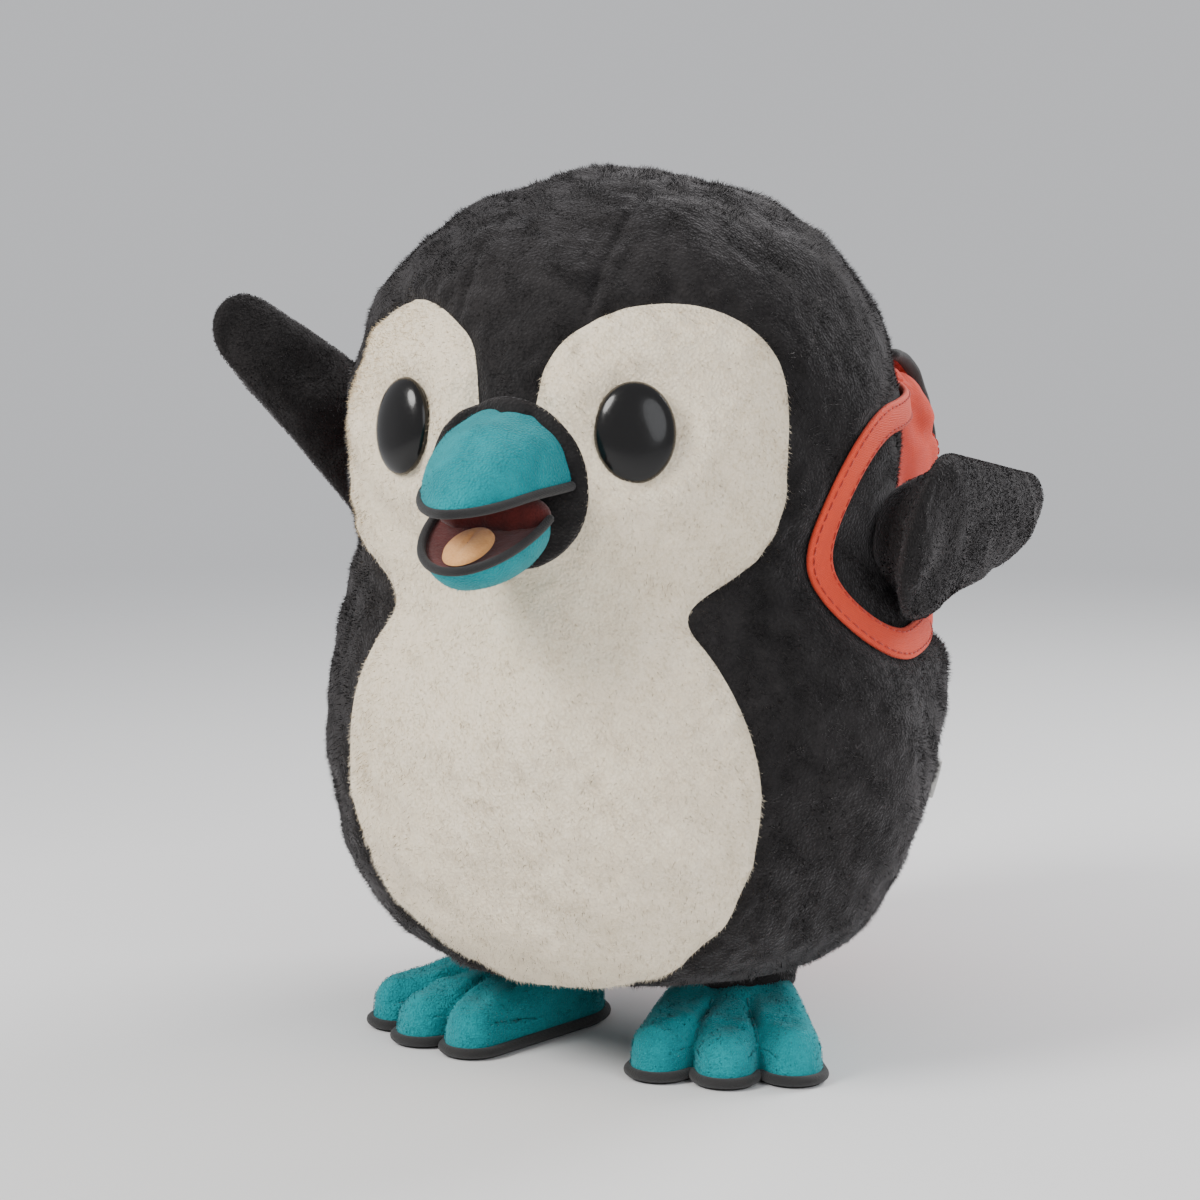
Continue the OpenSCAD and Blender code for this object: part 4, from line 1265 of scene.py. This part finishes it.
# ---- floor, light and camera ----
def floor(half=6.0):
    """Pale paper that fades into the backdrop well away from the toy."""
    look = Look("floor_paper", Base_Color=(0.82, 0.82, 0.82, 1), Roughness=0.9)
    distance = look.node("VectorMath", operation="LENGTH", Vector=look.coords).outputs["Value"]
    fade = look.node("MixShader", Fac=look.ramp(distance, 0.35, 1.5))
    for i, shader in ((1, look.shader), (2, look.node("BsdfTransparent"))):
        look.tree.links.new(shader.outputs["BSDF"], fade.inputs[i])
    look.put(look.tree.nodes["Material Output"], {"Surface": fade.outputs["Shader"]})
    me = bpy.data.meshes.new("floor")
    corners = [(-half, -half, 0), (half, -half, 0), (half, half, 0), (-half, half, 0)]
    me.from_pydata(corners, [], [(0, 1, 2, 3)])
    me.materials.append(look.mat)
    add("floor", me)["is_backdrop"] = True


def aim(ob, at, target):
    ob.location = at
    ob.rotation_euler = (Vector(target) - Vector(at)).to_track_quat("-Z", "Y").to_euler()


def lamp(name, at, target, size, power, colour=(1, 1, 1)):
    data = bpy.data.lights.new(name, "AREA")
    data.shape = "DISK"
    data.size, data.energy, data.color = size, power, colour
    aim(add(name, data), at, target)


floor()
lamp("key", (-0.75, -1.1, 1.15), (0, 0, 0.14), 0.7, 27.0, (1.0, 0.985, 0.96))
lamp("fill", (1.3, -0.8, 0.7), (0, 0, 0.14), 1.2, 9.0, (0.95, 0.97, 1.0))
lamp("rim", (0.6, 1.1, 0.9), (0, 0, 0.18), 0.7, 18.0)
world = bpy.data.worlds.new("studio")
world.use_nodes = True
sky = world.node_tree.nodes["Background"]
sky.inputs["Color"].default_value = (0.86, 0.87, 0.90, 1)
sky.inputs["Strength"].default_value = 0.74
bpy.context.scene.world = world

lo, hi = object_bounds()
centre = (Vector(lo) + Vector(hi)) / 2
az, el = radians(24), radians(7)
way = Vector((sin(az) * cos(el), -cos(az) * cos(el), sin(el)))
camera = add("camera", bpy.data.cameras.new("camera"))
camera.data.lens = 85
aim(camera, centre + way * 0.98, centre)
bpy.context.scene.camera = camera
